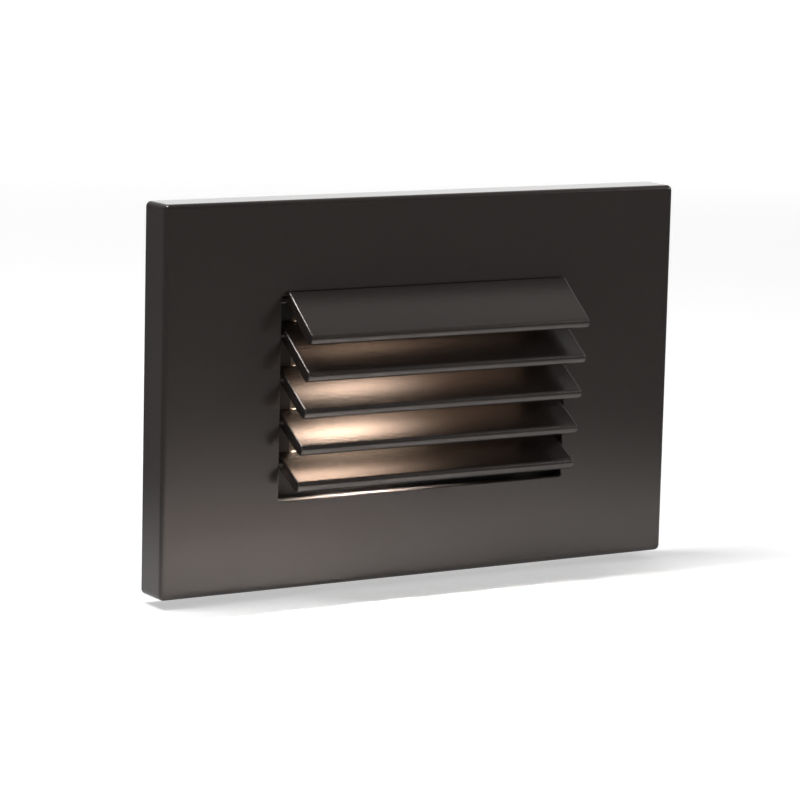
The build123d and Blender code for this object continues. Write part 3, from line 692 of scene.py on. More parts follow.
class Finishes:
    """Every finish on the light."""

    PAINT = Finish(
        "Bronze powder coat",
        "painted_metal",
        (0.029, 0.0240, 0.0218),
        (0.033, 0.0272, 0.0246),
        roughness=0.19,
        roughness_spread=0.03,
        specular=1.0,
        specular_tint=(1.0, 0.925, 0.895),
        grain_size=1900.0,
        grain_depth=0.000002,
        softness=0.75,
        patch_size=40.0,
        worn=(0.05, 0.043, 0.038),
        dust=0.03,
    )
    BLADE_PAINT = replace(PAINT, name="Bronze powder coat, orange peel", grain_depth=0.00006)
    CAST = Finish(
        "Die cast aluminium",
        "lamp_housing",
        (0.50, 0.50, 0.51),
        (0.60, 0.60, 0.61),
        roughness=0.42,
        roughness_spread=0.16,
        metallic=1.0,
        grain_size=2200.0,
        grain_depth=0.00004,
        softness=0.3,
        worn=(0.74, 0.74, 0.75),
    )
    BLACKENED = Finish(
        "Matte black sheet",
        "retainer",
        (0.010, 0.009, 0.008),
        (0.014, 0.013, 0.012),
        roughness=0.6,
        grain_size=2600.0,
    )
    # The lens's base colour is darker than frosted plastic. This is painted shade that keeps light
    # bounced off the blades from showing on it. Its glow is painted light.
    LENS = PaintedGlowLens(
        "Frosted lens",
        "lens",
        (0.09, 0.08, 0.062),
        (0.13, 0.115, 0.09),
        roughness=0.22,
        grain_size=900.0,
        grain_depth=0.00005,
        softness=0.2,
    )
    RUBBER = Finish(
        "Seal rubber",
        "gasket",
        (0.020, 0.020, 0.020),
        (0.032, 0.032, 0.031),
        roughness=0.72,
        grain_size=3000.0,
        grain_depth=0.00005,
        specular=0.35,
    )
    GROMMET = Finish(
        "Grommet rubber",
        "grommet",
        (0.013, 0.013, 0.013),
        (0.022, 0.022, 0.022),
        roughness=0.55,
        grain_size=2600.0,
    )
    REFLECTOR = Finish(
        "White reflector",
        "reflector",
        (0.84, 0.84, 0.82),
        (0.78, 0.78, 0.75),
        roughness=0.28,
        grain_size=1200.0,
        grain_depth=0.00001,
    )
    LIGHT_BOARD = CircuitBoard(
        "White light board",
        "circuit_board",
        (0.78, 0.79, 0.76),
        (0.84, 0.85, 0.82),
        roughness=0.3,
        track=(0.62, 0.63, 0.58),
        pad=(0.66, 0.63, 0.52),
    )
    DRIVER_BOARD = CircuitBoard(
        "Green driver board",
        "driver_board",
        (0.012, 0.11, 0.045),
        (0.018, 0.14, 0.06),
        roughness=0.3,
    )
    CHIP_BODY = Finish(
        "Chip carrier",
        "led",
        (0.82, 0.80, 0.74),
        (0.88, 0.86, 0.82),
        roughness=0.35,
    )
    PHOSPHOR = GlowingChip(
        "Chip phosphor",
        "led",
        (0.86, 0.60, 0.14),
        (0.90, 0.68, 0.20),
        roughness=0.3,
    )
    CONNECTOR = Finish(
        "Connector nylon",
        "connector",
        (0.78, 0.75, 0.66),
        (0.83, 0.80, 0.72),
        roughness=0.45,
    )
    SPREADER = Finish(
        "Milled aluminium",
        "heat_spreader",
        (0.68, 0.69, 0.70),
        (0.76, 0.77, 0.78),
        roughness=0.26,
        metallic=1.0,
        texture=Texture.STROKES,
        worn=(0.85, 0.85, 0.86),
    )
    SCREW = Finish(
        "Zinc plated steel",
        "screw_steel",
        (0.58, 0.58, 0.56),
        (0.68, 0.67, 0.62),
        roughness=0.24,
        metallic=1.0,
        grain_size=3200.0,
        grain_depth=0.00001,
        patch_size=400.0,
        worn=(0.80, 0.80, 0.79),
        wear_radius=0.0002,
    )
    SET_SCREW = Finish(
        "Black oxide steel",
        "set_screw",
        (0.022, 0.022, 0.024),
        (0.035, 0.034, 0.034),
        roughness=0.34,
        metallic=0.6,
        grain_size=3200.0,
        grain_depth=0.00001,
        patch_size=400.0,
        worn=(0.22, 0.21, 0.20),
        wear_radius=0.00015,
    )
    SOLDER = Finish(
        "Tinned solder",
        "screw_steel",
        (0.66, 0.66, 0.67),
        (0.74, 0.74, 0.75),
        roughness=0.2,
        metallic=1.0,
        grain_size=3000.0,
        grain_depth=0.00001,
    )
    BRASS = Finish(
        "Turned brass",
        "standoff_brass",
        (0.66, 0.47, 0.17),
        (0.72, 0.54, 0.22),
        roughness=0.22,
        metallic=1.0,
        grain_size=3000.0,
        grain_depth=0.00001,
    )
    FERRITE = Finish(
        "Ferrite",
        "choke",
        (0.030, 0.030, 0.032),
        (0.050, 0.050, 0.052),
        roughness=0.55,
        grain_size=2400.0,
        grain_depth=0.00004,
    )
    COPPER = Finish(
        "Enamelled copper",
        "transformer",
        (0.60, 0.20, 0.07),
        (0.68, 0.27, 0.10),
        roughness=0.24,
        metallic=0.85,
        patch_size=500.0,
        coat=0.4,
    )
    TAPE = Finish(
        "Yellow winding tape",
        "transformer",
        (0.72, 0.48, 0.04),
        (0.78, 0.55, 0.07),
        roughness=0.32,
        texture=Texture.STROKES,
        grain_depth=0.00001,
    )
    SLEEVE = Finish(
        "Capacitor sleeve",
        "capacitor",
        (0.018, 0.020, 0.045),
        (0.024, 0.026, 0.055),
        roughness=0.26,
        coat=0.3,
    )
    CAN_TOP = Finish(
        "Capacitor can top",
        "capacitor",
        (0.70, 0.70, 0.70),
        (0.78, 0.78, 0.78),
        roughness=0.25,
        metallic=1.0,
        texture=Texture.STROKES,
    )
    TERMINAL = Finish(
        "Terminal plastic",
        "terminal",
        (0.02, 0.13, 0.06),
        (0.03, 0.16, 0.08),
        roughness=0.42,
    )
    CHIP = Finish(
        "Moulded epoxy",
        "chip",
        (0.016, 0.016, 0.017),
        (0.024, 0.024, 0.025),
        roughness=0.5,
        grain_size=3200.0,
    )
    BRACKET = Finish(
        "Galvanised sheet",
        "bracket_steel",
        (0.50, 0.51, 0.52),
        (0.64, 0.65, 0.66),
        roughness=0.30,
        roughness_spread=0.2,
        metallic=1.0,
        texture=Texture.STROKES,
        grain_size=1600.0,
        grain_depth=0.00001,
        patch_size=240.0,
        worn=(0.78, 0.78, 0.78),
    )


# ---- Placing pieces ----


class Body(Enum):
    """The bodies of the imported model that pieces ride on."""

    WALL = "wall_side"
    LIGHT = "light"
    LEFT_SCREW = "left_set_screw"
    RIGHT_SCREW = "right_set_screw"


def dress(node: str, finish: Finish) -> None:
    """Give a CAD node its finish.

    Args:
        node: the node's name.
        finish: its finish.
    """
    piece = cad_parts[node]
    piece.data.materials.clear()
    piece.data.materials.append(finish.material())
    LOG.info("CAD node %s: %s", node, finish.name)


def place(piece: bpy.types.Object, body: Body, finish: Finish, *nodes: str) -> bpy.types.Object:
    """Make a finished piece ride on its body and stand for its CAD nodes.

    Args:
        piece: the piece, at the origin, with its place in its mesh.
        body: the body it rides on.
        finish: its finish, named in the log.
        *nodes: the CAD nodes that it stands for.

    Returns:
        The piece.
    """
    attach(piece, body.value)
    if nodes:
        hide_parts(*nodes)
    LOG.info("piece %s: %d faces, %s", piece.name, len(piece.data.polygons), finish.name)
    return piece


def smooth(mesh: bpy.types.Mesh, angle: float = 35.0) -> None:
    """Shade a mesh smooth except over edges sharper than the angle, in degrees."""
    mesh.shade_smooth()
    mesh.set_sharp_from_angle(angle=radians(angle))


def new_piece(name: str, mesh: bpy.types.Mesh) -> bpy.types.Object:
    """Put a mesh in the scene as a piece.

    Args:
        name: the piece's name.
        mesh: its mesh.

    Returns:
        The object.
    """
    made = bpy.data.objects.new(name, mesh)
    bpy.context.scene.collection.objects.link(made)
    return made


def grow(
    name: str,
    tree: bpy.types.NodeTree,
    values: dict,
    points: list[Vector] | None = None,
    bevel: float = 0.0,
    crease: float = 35.0,
) -> bpy.types.Object:
    """Run a geometry tree and keep its result as a plain mesh.

    Args:
        name: the piece's name.
        tree: the geometry node tree.
        values: its input values, by input name.
        points: points that the tree starts from.
        bevel: width of a bevel on the result's sharp edges, or 0 for none.
        crease: angle in degrees past which an edge is shaded sharp.

    Returns:
        The piece.
    """
    start = bpy.data.meshes.new(f"{name}_points")
    start.from_pydata(points or [], [], [])
    host = new_piece(f"{name}_host", start)
    modifier = host.modifiers.new("Shape", "NODES")
    modifier.node_group = tree
    for item in tree.interface.items_tree:
        if item.in_out == "INPUT" and item.name in values:
            modifier[item.identifier] = values[item.name]
    if bevel:
        edge = host.modifiers.new("Edge", "BEVEL")
        edge.width = bevel
        edge.segments = 2
        edge.profile = 0.5
        edge.limit_method = "ANGLE"
        edge.angle_limit = radians(50.0)
    bpy.context.view_layer.update()
    graph = bpy.context.evaluated_depsgraph_get()
    mesh = bpy.data.meshes.new_from_object(
        host.evaluated_get(graph), preserve_all_data_layers=True, depsgraph=graph
    )
    mesh.name = name
    if FINISH_LAYER in mesh.attributes:
        mesh.attributes.remove(mesh.attributes[FINISH_LAYER])
    bpy.data.objects.remove(host)
    bpy.data.meshes.remove(start)
    smooth(mesh, crease)
    return new_piece(name, mesh)


FINISH_LAYER = "finish_number"


def at(x: float, out: float, z: float) -> Vector:
    """Return a place given in millimetres, with its distance out from the wall."""
    return Vector((x, -out, z)) * MM


class Facing(Enum):
    """Turn, about X, that points a shape's own +Z in a direction."""

    OUT = pi / 2
    IN = -pi / 2
    UP = 0.0
    DOWN = pi


class Shape:
    """A mesh in the making, in millimetres, with the number of a finish on each face."""

    def __init__(self) -> None:
        """Start with an empty mesh."""
        self.mesh = bmesh.new()
        self.layer = self.mesh.faces.layers.int.new(FINISH_LAYER)

    def box(
        self,
        low: Triple,
        high: Triple,
        finish: int = 0,
        bevel: float = 0.0,
    ) -> None:
        """Add a box.

        Args:
            low: its lowest corner.
            high: its highest corner.
            finish: number of its finish.
            bevel: radius of its edges.
        """
        low_corner, high_corner = Vector(low), Vector(high)
        middle, size = (low_corner + high_corner) / 2, high_corner - low_corner
        matrix = Matrix.Translation(middle) @ Matrix.Diagonal((*size, 1.0))
        before = set(self.mesh.faces)
        made = bmesh.ops.create_cube(self.mesh, size=1.0, matrix=matrix)
        if bevel:
            edges = list({edge for vert in made["verts"] for edge in vert.link_edges})
            bmesh.ops.bevel(
                self.mesh, geom=edges, offset=bevel, segments=3, profile=0.5, affect="EDGES"
            )
        for face in set(self.mesh.faces) - before:
            face[self.layer] = finish

    def lathe(
        self,
        rings: list[tuple[float, float]],
        finish: int = 0,
        hex_from: int = 99,
        middle: tuple[float, float] = (0.0, 0.0),
        segments: int = 36,
    ) -> None:
        """Add a turned solid about a line along Z.

        Args:
            rings: radius and height of each ring, from the middle of its lower end round the
                outside to the middle of its upper end. A radius of 0 is a pole.
            finish: number of its finish.
            hex_from: the ring from which on rings are hexagons, sized by half their width.
            middle: X and Y of the line.
            segments: points in a ring.
        """
        loops = []
        for number, (radius, height) in enumerate(rings):
            steps = range(1 if radius == 0.0 else segments)
            loop = []
            for step in steps:
                angle = 2 * pi * step / segments
                reach = radius
                if number >= hex_from:
                    reach = radius / cos((angle + pi / 6) % (pi / 3) - pi / 6)
                spot = (middle[0] + reach * cos(angle), middle[1] + reach * sin(angle), height)
                loop.append(self.mesh.verts.new(spot))
            loops.append(loop)
        for low, high in zip(loops, loops[1:]):
            for step in range(segments):
                after = (step + 1) % segments
                corners = [low[step % len(low)], low[after % len(low)]]
                corners += [high[after % len(high)], high[step % len(high)]]
                face = self.mesh.faces.new(list(dict.fromkeys(corners)))
                face[self.layer] = finish

    def template(self, name: str) -> bpy.types.Object:
        """Turn the shape into an object in metres, for a tree to repeat.

        Args:
            name: the object's name.

        Returns:
            The object.
        """
        mesh = bpy.data.meshes.new(name)
        bmesh.ops.scale(self.mesh, vec=(MM, MM, MM), verts=self.mesh.verts)
        self.mesh.to_mesh(mesh)
        self.mesh.free()
        return new_piece(name, mesh)


class RepeatTree:
    """The tree that sets a shape, and a thread where it has one, at each of its points.

    Attributes:
        tree: the tree, once it's built.
    """

    tree: bpy.types.NodeTree | None = None

    @classmethod
    def get(cls) -> bpy.types.NodeTree:
        """Find the tree, building it the first time.

        Returns:
            The tree.
        """
        if cls.tree is None:
            cls.tree = cls.build()
        return cls.tree

    @classmethod
    def build(cls) -> bpy.types.NodeTree:
        """Build the tree.

        Returns:
            The tree.
        """
        tree, desk, given, out = new_group(
            "Shape at points",
            "GeometryNodeTree",
            [
                ("Geometry", SHAPE, None),
                ("Shape", THING, None),
                ("Turn", FLOAT, 0.0),
                ("Thread Radius", FLOAT, 0.0),
                ("Thread Depth", FLOAT, 0.0),
                ("Thread Length", FLOAT, 0.0),
                ("Thread Turns", FLOAT, 0.0),
                ("Thread Start", FLOAT, 0.0),
                ("First Finish", MATERIAL, None),
                ("Second Finish", MATERIAL, None),
                ("Third Finish", MATERIAL, None),
            ],
            [("Geometry", SHAPE)],
        )
        shape = desk.node("GeometryNodeObjectInfo", {"Object": given["Shape"]})
        both = desk.join(shape.outputs["Geometry"], cls.thread(desk, given))
        turn = desk.vector(X=given["Turn"])
        inputs = {"Points": given["Geometry"], "Instance": both, "Rotation": turn}
        many = desk.node("GeometryNodeInstanceOnPoints", inputs).outputs[0]
        result = desk.node("GeometryNodeRealizeInstances", {"Geometry": many}).outputs[0]
        number = desk.node("GeometryNodeInputNamedAttribute", {"Name": FINISH_LAYER})
        number.data_type = "INT"
        for index, name in enumerate(("First Finish", "Second Finish", "Third Finish")):
            here = desk.node("FunctionNodeCompare", data_type="INT", operation="EQUAL")
            desk.feed(here.inputs[2], number.outputs[0])
            here.inputs[3].default_value = index
            inputs = {"Geometry": result, "Selection": here.outputs[0], "Material": given[name]}
            result = desk.node("GeometryNodeSetMaterial", inputs).outputs[0]
        desk.feed(out["Geometry"], result)
        return tree

    @staticmethod
    def thread(desk: Desk, given: Sockets) -> Socket:
        """Add the thread's ridge.

        Args:
            desk: the tree's desk.
            given: the tree's inputs.

        Returns:
            Its geometry socket, empty where the radius is 0.
        """
        spiral = desk.node(
            "GeometryNodeCurveSpiral",
            {
                "Resolution": 20,
                "Rotations": given["Thread Turns"],
                "Start Radius": given["Thread Radius"],
                "End Radius": given["Thread Radius"],
                "Height": given["Thread Length"],
                "Reverse": True,
            },
        )
        level = desk.node("GeometryNodeSetCurveNormal", {"Curve": spiral.outputs[0]}, mode="Z_UP")
        ridge = desk.node(
            "GeometryNodeCurvePrimitiveCircle", {"Resolution": 4, "Radius": given["Thread Depth"]}
        )
        swept = desk.node(
            "GeometryNodeCurveToMesh",
            {"Curve": level.outputs[0], "Profile Curve": ridge.outputs[0], "Fill Caps": True},
        )
        start = desk.vector(Z=given["Thread Start"])
        moved = desk.moved(swept.outputs[0], Translation=start)
        return desk.only_if(given["Thread Radius"], moved)


@dataclass
class Thread:
    """A screw thread, in millimetres.

    Attributes:
        radius: radius over the thread.
        length: length of the threaded stretch.
        start: height of its lower end, on the shape.
        pitch: distance from one turn to the next.
    """

    radius: float
    length: float
    start: float
    pitch: float = 0.5

    @property
    def depth(self) -> float:
        """Half the pitch less a little, so that neighbouring turns meet at the core."""
        return 0.48 * self.pitch

    def values(self) -> dict[str, float]:
        """Work out the repeating tree's inputs for this thread.

        Returns:
            The inputs, by name.
        """
        return {
            "Thread Radius": (self.radius - self.depth) * MM,
            "Thread Depth": self.depth * MM,
            "Thread Length": (self.length - 2 * self.depth) * MM,
            "Thread Turns": (self.length - 2 * self.depth) / self.pitch,
            "Thread Start": (self.start + self.depth) * MM,
        }


def repeat(
    name: str,
    shape: Shape,
    places: list[Vector],
    facing: Facing,
    finishes: list[Finish],
    thread: Thread | None = None,
) -> bpy.types.Object:
    """Set a shape at several places, as one piece.

    Args:
        name: the piece's name.
        shape: the shape, which is used up.
        places: where it goes, in metres.
        facing: where its own +Z points.
        finishes: up to three finishes, in the order of the shape's finish numbers.
        thread: its thread, if it has one.

    Returns:
        The piece.
    """
    template = shape.template(f"{name}_shape")
    values = {"Shape": template, "Turn": facing.value}
    for socket, finish in zip(("First Finish", "Second Finish", "Third Finish"), finishes):
        values[socket] = finish.material()
    if thread:
        values.update(thread.values())
    piece = grow(name, RepeatTree.get(), values, points=places)
    used = template.data
    bpy.data.objects.remove(template)
    bpy.data.meshes.remove(used)
    return piece


# ---- Studio ----


@dataclass
class Camera:
    """The photograph's camera, found from the plate's edges.

    Attributes:
        focal: focal length in pixels of an 800 pixel frame.
        yaw: angle round the light, in radians; negative is from its left.
        pitch: angle above the light's middle, in radians.
        roll: turn about the line of sight, in radians.
        distance: distance along the line of sight, in metres.
        shift: sideways and upward place of the camera, in metres.
        frame_size: width of that frame, in pixels.
        sensor: width of the sensor, in millimetres.
    """

    focal: float = 3549.06
    yaw: float = -0.5534227
    pitch: float = 0.1604997
    roll: float = 0.0241258
    distance: float = 0.76789
    shift: tuple[float, float] = (-0.0010637, -0.0041711)
    frame_size: float = 800.0
    sensor: float = 36.0

    def build(self) -> None:
        """Make the camera and look through it."""
        back = Vector(
            (
                sin(self.yaw) * cos(self.pitch),
                -cos(self.yaw) * cos(self.pitch),
                sin(self.pitch),
            )
        )
        flat_right = Vector((cos(self.yaw), sin(self.yaw), 0.0))
        flat_up = back.cross(flat_right)
        right = flat_right * cos(self.roll) + flat_up * sin(self.roll)
        up = flat_up * cos(self.roll) - flat_right * sin(self.roll)
        data = bpy.data.cameras.new("Camera")
        data.sensor_width = self.sensor
        data.lens = self.focal * self.sensor / self.frame_size
        data.clip_start = 0.01
        data.clip_end = 20.0
        camera = bpy.data.objects.new("Camera", data)
        bpy.context.scene.collection.objects.link(camera)
        turn = Matrix((right, up, back)).transposed().to_4x4()
        where = right * self.shift[0] + up * self.shift[1] + back * self.distance
        camera.matrix_world = Matrix.Translation(where) @ turn
        bpy.context.scene.camera = camera


@dataclass
class Lamp:
    """One soft lamp.

    Attributes:
        name: its name.
        place: where it is, in metres.
        target: the point that it faces.
        size: its width and height, in metres.
        power: its power in watts.
        colour: its colour.
    """

    name: str
    place: Triple
    target: Triple
    size: tuple[float, float]
    power: float
    colour: Triple = (1.0, 1.0, 1.0)

    def build(self) -> bpy.types.Object:
        """Make the lamp.

        Returns:
            The lamp's object.
        """
        data = bpy.data.lights.new(self.name, "AREA")
        data.shape = "RECTANGLE"
        data.size, data.size_y = self.size
        data.energy = self.power
        data.color = self.colour
        lamp = bpy.data.objects.new(self.name, data)
        bpy.context.scene.collection.objects.link(lamp)
        lamp.location = self.place
        facing = Vector(self.target) - Vector(self.place)
        lamp.rotation_euler = facing.to_track_quat("-Z", "Y").to_euler()
        return lamp


@dataclass
class Studio:
    """Pale floor, soft lamps and the world.

    Attributes:
        floor_drop: how far the floor is below the faceplate, in metres.
        floor_size: half the floor's side, in metres.
        floor_tone: the floor's colour as the lamps light it.
        floor_lift: brightness added to the floor as the camera sees it.
        far_lift: brightness added to the floor past the horizon's foot.
        horizon: distances between which the added brightness rises, in metres.
        painted_pool: distances between which a painted pool of light on the floor fades, in metres;
            only reflections show it.
        painted_pool_middle: the place that they are measured from.
        painted_near_tone: brightness of the floor in the painted pool, as reflections show it.
        painted_far_tone: brightness of the floor past the pool, painted darker in reflections.
        bright_side: direction in which the world is brightest.
        back_tone: brightness of the world on that side.
        front_tone: brightness of the world on the other side.
        lamps: the soft lamps.
    """

    floor_drop: float = 0.0018
    floor_size: float = 6.0
    floor_tone: float = 0.80
    floor_lift: float = 0.45
    far_lift: float = 1.0
    horizon: tuple[float, float] = (0.5, 1.8)
    painted_pool: tuple[float, float] = (0.08, 0.22)
    painted_pool_middle: Triple = (0.015, -0.015, 0.0)
    painted_near_tone: float = 0.72
    painted_far_tone: float = 0.155
    bright_side: Triple = (0.76, 0.64, 0.1)
    back_tone: float = 0.64
    front_tone: float = 0.10
    lamps: list[Lamp] = field(
        default_factory=lambda: [
            Lamp("Upper left", (-0.40, 0.13, 1.12), (0.0, 0.0, 0.0), (0.32, 0.32), 7.0),
            Lamp("Right", (0.85, -0.55, 0.40), (0.0, 0.0, 0.0), (0.4, 0.4), 1.6),
            Lamp("Behind", (0.80, 1.28, 0.30), (0.0, 0.0, 0.0), (1.2, 0.5), 1.65),
            Lamp("Above", (-0.112, 0.06, 1.0), (-0.112, -0.05, 0.0), (0.10, 0.28), 1.6),
        ]
    )

    def build(self) -> None:
        """Make the floor, the lamps and the world."""
        self.build_floor()
        self.build_world()
        for lamp in self.lamps:
            lamp.build()
        view = bpy.context.scene.view_settings
        view.view_transform = "Standard"

    def build_floor(self) -> None:
        """Make the floor and its material."""
        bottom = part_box("faceplate")[0].z - self.floor_drop
        mesh = bpy.data.meshes.new("Floor")
        half = self.floor_size
        corners = [(-half, -half), (half, -half), (half, half), (-half, half)]
        mesh.from_pydata([(x, y, bottom) for x, y in corners], [], [(0, 1, 2, 3)])
        floor = new_piece("Floor", mesh)
        made = bpy.data.materials.new("Pale floor")
        made.use_nodes = True
        desk = Desk(made.node_tree)
        surface = made.node_tree.nodes["Principled BSDF"]
        out = made.node_tree.nodes["Material Output"]
        place = desk.node("ShaderNodeTexCoord").outputs["Object"]
        reach = desk.vector_math("LENGTH", place, output="Value")
        # Painted pool of light: in reflections the floor is bright near the light and dark further
        # off, in its colour and in the brightness added to it.
        off = desk.vector_math("DISTANCE", place, self.painted_pool_middle, "Value")
        painted_pool = desk.spread(off, *self.painted_pool, self.painted_near_tone, self.painted_far_tone)
        path = desk.node("ShaderNodeLightPath").outputs
        tone = desk.math("MULTIPLY", self.painted_reflection(desk, path, painted_pool), self.floor_tone)
        desk.feed(surface.inputs["Base Color"], tone)
        surface.inputs["Roughness"].default_value = 0.9
        surface.inputs["Specular IOR Level"].default_value = 0.0
        lift = desk.node("ShaderNodeEmission", {"Color": (1.0, 1.0, 1.0, 1.0)})
        seen = desk.math("MAXIMUM", path["Is Camera Ray"], path["Is Transmission Ray"])
        seen = desk.math("MAXIMUM", seen, desk.math("MULTIPLY", path["Is Glossy Ray"], painted_pool))
        rise = desk.spread(reach, *self.horizon, self.floor_lift, self.far_lift)
        desk.feed(lift.inputs["Strength"], desk.math("MULTIPLY", seen, rise))
        both = desk.node("ShaderNodeAddShader", {0: surface.outputs[0], 1: lift.outputs[0]})
        desk.feed(out.inputs["Surface"], both.outputs[0])
        floor.data.materials.append(made)

    @staticmethod
    def painted_reflection(desk: Desk, path: Sockets, painted_pool: Socket) -> Socket:
        """Return a socket: the painted pool of light's brightness in reflections, and 1 elsewhere.

        Args:
            desk: the material's desk.
            path: the outputs of its light path node.
            painted_pool: brightness of the painted pool of light.

        Returns:
            The socket.
        """
        mix = desk.node("ShaderNodeMix", {"Factor": path["Is Glossy Ray"]}, data_type="FLOAT")
        mix.inputs[2].default_value = 1.0
        desk.feed(mix.inputs[3], painted_pool)
        return mix.outputs[0]

    def build_world(self) -> None:
        """Make the world: white where the camera sees it, softer where it lights the scene."""
        world = bpy.data.worlds.new("Studio")
        bpy.context.scene.world = world
        world.use_nodes = True
        desk = Desk(world.node_tree)
        sky = world.node_tree.nodes["Background"]
        sky.inputs["Color"].default_value = (1.0, 1.0, 1.0, 1.0)
        path = desk.node("ShaderNodeLightPath").outputs
        toward = desk.node("ShaderNodeTexCoord").outputs["Generated"]
        side = desk.vector_math("DOT_PRODUCT", toward, self.bright_side, "Value")
        lit = desk.spread(side, 0.1, 1.0, self.front_tone, self.back_tone)
        seen = desk.math("MAXIMUM", path["Is Camera Ray"], path["Is Transmission Ray"])
        desk.feed(sky.inputs["Strength"], desk.math("MAXIMUM", seen, lit))


# ---- Faceplate and louvre ----


@dataclass
class Faceplate:
    """The cast faceplate and the foam ring in its rim."""

    def build(self) -> None:
        """Dress both nodes."""
        dress("faceplate", Finishes.PAINT)
        dress("wall_gasket", Finishes.RUBBER)


@dataclass
class Louvre:
    """Five sloping blades that fan out down the opening.

    Attributes:
        count: number of blades.
        length: length of each blade.
        thickness: thickness of each blade.
        top_slope: slope of the top blade, in degrees.
        bottom_slope: slope of the bottom blade, in degrees.
        nose: out and height of the lower edge of the top blade's nose.
        step: how much further back and lower each next nose is.
        rear_out: how far out the blades' rear edges are.
        lip_out: how far out the rear edge of the top blade's slab is.
        edge: radius of the blades' rear edges.
        nose_edge: radius of the two long edges of their noses.
        end_edge: radius of the edges round their ends.
        crease: how sharp an edge still shades smooth, in degrees.
        root: out and height of the middle of the top blade's root.
        root_size: depth and height of that root.
        tenon: width, thickness and reach from the middle of the end tenons.
        tenon_out: how far out the tenons are.
    """

    count: int = 5
    length: float = 69.4 * MM
    thickness: float = 2.5 * MM
    top_slope: float = 38.5
    bottom_slope: float = 28.5
    nose: tuple[float, float] = (18.35 * MM, 11.7 * MM)
    step: tuple[float, float] = (1.05 * MM, 7.9 * MM)
    rear_out: float = 5.2 * MM
    lip_out: float = 8.9 * MM
    edge: float = 0.3 * MM
    nose_edge: float = 1.15 * MM
    end_edge: float = 0.52 * MM
    crease: float = 20.0
    root: tuple[float, float] = (7.4 * MM, 20.15 * MM)
    root_size: tuple[float, float] = (4.4 * MM, 2.0 * MM)
    tenon: Triple = (2.2 * MM, 1.2 * MM, 37.4 * MM)
    tenon_out: float = 6.75 * MM

    def tree(self) -> bpy.types.NodeTree:
        """Build the blade's geometry tree.

        Returns:
            The tree. Its profile is drawn with X into the wall and Y up, and pushed along Z; the
            last step turns X, Y, Z to Y, Z, X.
        """
        tree, desk, given, out = new_group(
            "Louvre blade",
            "GeometryNodeTree",
            [
                ("Geometry", SHAPE, None),
                ("Length", FLOAT, 0.07),
                ("Thickness", FLOAT, 0.002),
                ("Slope", FLOAT, 0.6),
                ("Nose Out", FLOAT, 0.018),
                ("Nose Height", FLOAT, 0.012),
                ("Rear Out", FLOAT, 0.005),
                ("Edge Radius", FLOAT, 0.0004),
                ("Nose Radius", FLOAT, 0.001),
                ("Tenon Turn", FLOAT, 0.6),
                ("Tenon Height", FLOAT, 0.012),
                ("Tenon Out", FLOAT, 0.007),
                ("Tenon Size", VECTOR, (0.002, 0.001, 0.07)),
                ("Root Place", VECTOR, (0.0, 0.0, 0.0)),
                ("Root Size", VECTOR, (0.0, 0.0, 0.0)),
                ("Finish", MATERIAL, None),
            ],
            [("Geometry", SHAPE)],
        )
        sine = desk.math("SINE", given["Slope"])
        cosine = desk.math("COSINE", given["Slope"])
        tangent = desk.math("TANGENT", given["Slope"])
        nose_x = desk.math("MULTIPLY", given["Nose Out"], -1.0)
        rear_x = desk.math("MULTIPLY", given["Rear Out"], -1.0)
        run = desk.math("SUBTRACT", given["Nose Out"], given["Rear Out"])
        rise = desk.math("MULTIPLY", run, tangent)
        under = desk.math("ADD", given["Nose Height"], rise)
        over = desk.math("ADD", under, desk.math("DIVIDE", given["Thickness"], cosine))
        lip_x = desk.math("SUBTRACT", nose_x, desk.math("MULTIPLY", given["Thickness"], sine))
        lip_y = desk.math("MULTIPLY_ADD", given["Thickness"], cosine, given["Nose Height"])
        corners = [(nose_x, given["Nose Height"]), (rear_x, under), (rear_x, over), (lip_x, lip_y)]
        outline = desk.node("GeometryNodeCurvePrimitiveQuadrilateral", mode="POINTS")
        for number, (x, y) in enumerate(corners):
            desk.feed(outline.inputs[f"Point {number + 1}"], desk.vector(X=x, Y=y))
        corner = desk.node("GeometryNodeInputIndex").outputs[0]
        off_middle = desk.math("ABSOLUTE", desk.math("SUBTRACT", corner, 1.5))
        at_nose = desk.math("GREATER_THAN", off_middle, 1.0)
        more = desk.math("SUBTRACT", given["Nose Radius"], given["Edge Radius"])
        radius = desk.math("MULTIPLY_ADD", at_nose, more, given["Edge Radius"])
        rounding = {"Count": 8, "Radius": radius, "Limit Radius": True}
        push = desk.vector(Z=given["Length"])
        slab = desk.pushed(outline.outputs[0], rounding, push, front=False)
        half = desk.math("MULTIPLY", given["Length"], -0.5)
        slab = desk.moved(slab, Translation=desk.vector(Z=half))
        parts = desk.join(slab, self.tenon_bar(desk, given), self.root_block(desk, given))
        axes = desk.split(desk.node("GeometryNodeInputPosition").outputs[0])
        turned = desk.vector(X=axes["Z"], Y=axes["X"], Z=axes["Y"])
        inputs = {"Geometry": parts, "Position": turned}
        standing = desk.node("GeometryNodeSetPosition", inputs).outputs[0]
        desk.feed(out["Geometry"], desk.finished(standing, given["Finish"]))
        return tree

    @staticmethod
    def tenon_bar(desk: Desk, given: Sockets) -> Socket:
        """Add the bar whose two ends are the blade's tenons.

        Args:
            desk: the tree's desk.
            given: the tree's inputs.

        Returns:
            Its geometry socket.
        """
        bar = desk.node("GeometryNodeMeshCube", {"Size": given["Tenon Size"]}).outputs[0]
        out_x = desk.math("MULTIPLY", given["Tenon Out"], -1.0)
        where = desk.vector(X=out_x, Y=given["Tenon Height"])
        return desk.moved(bar, Translation=where, Rotation=desk.vector(Z=given["Tenon Turn"]))

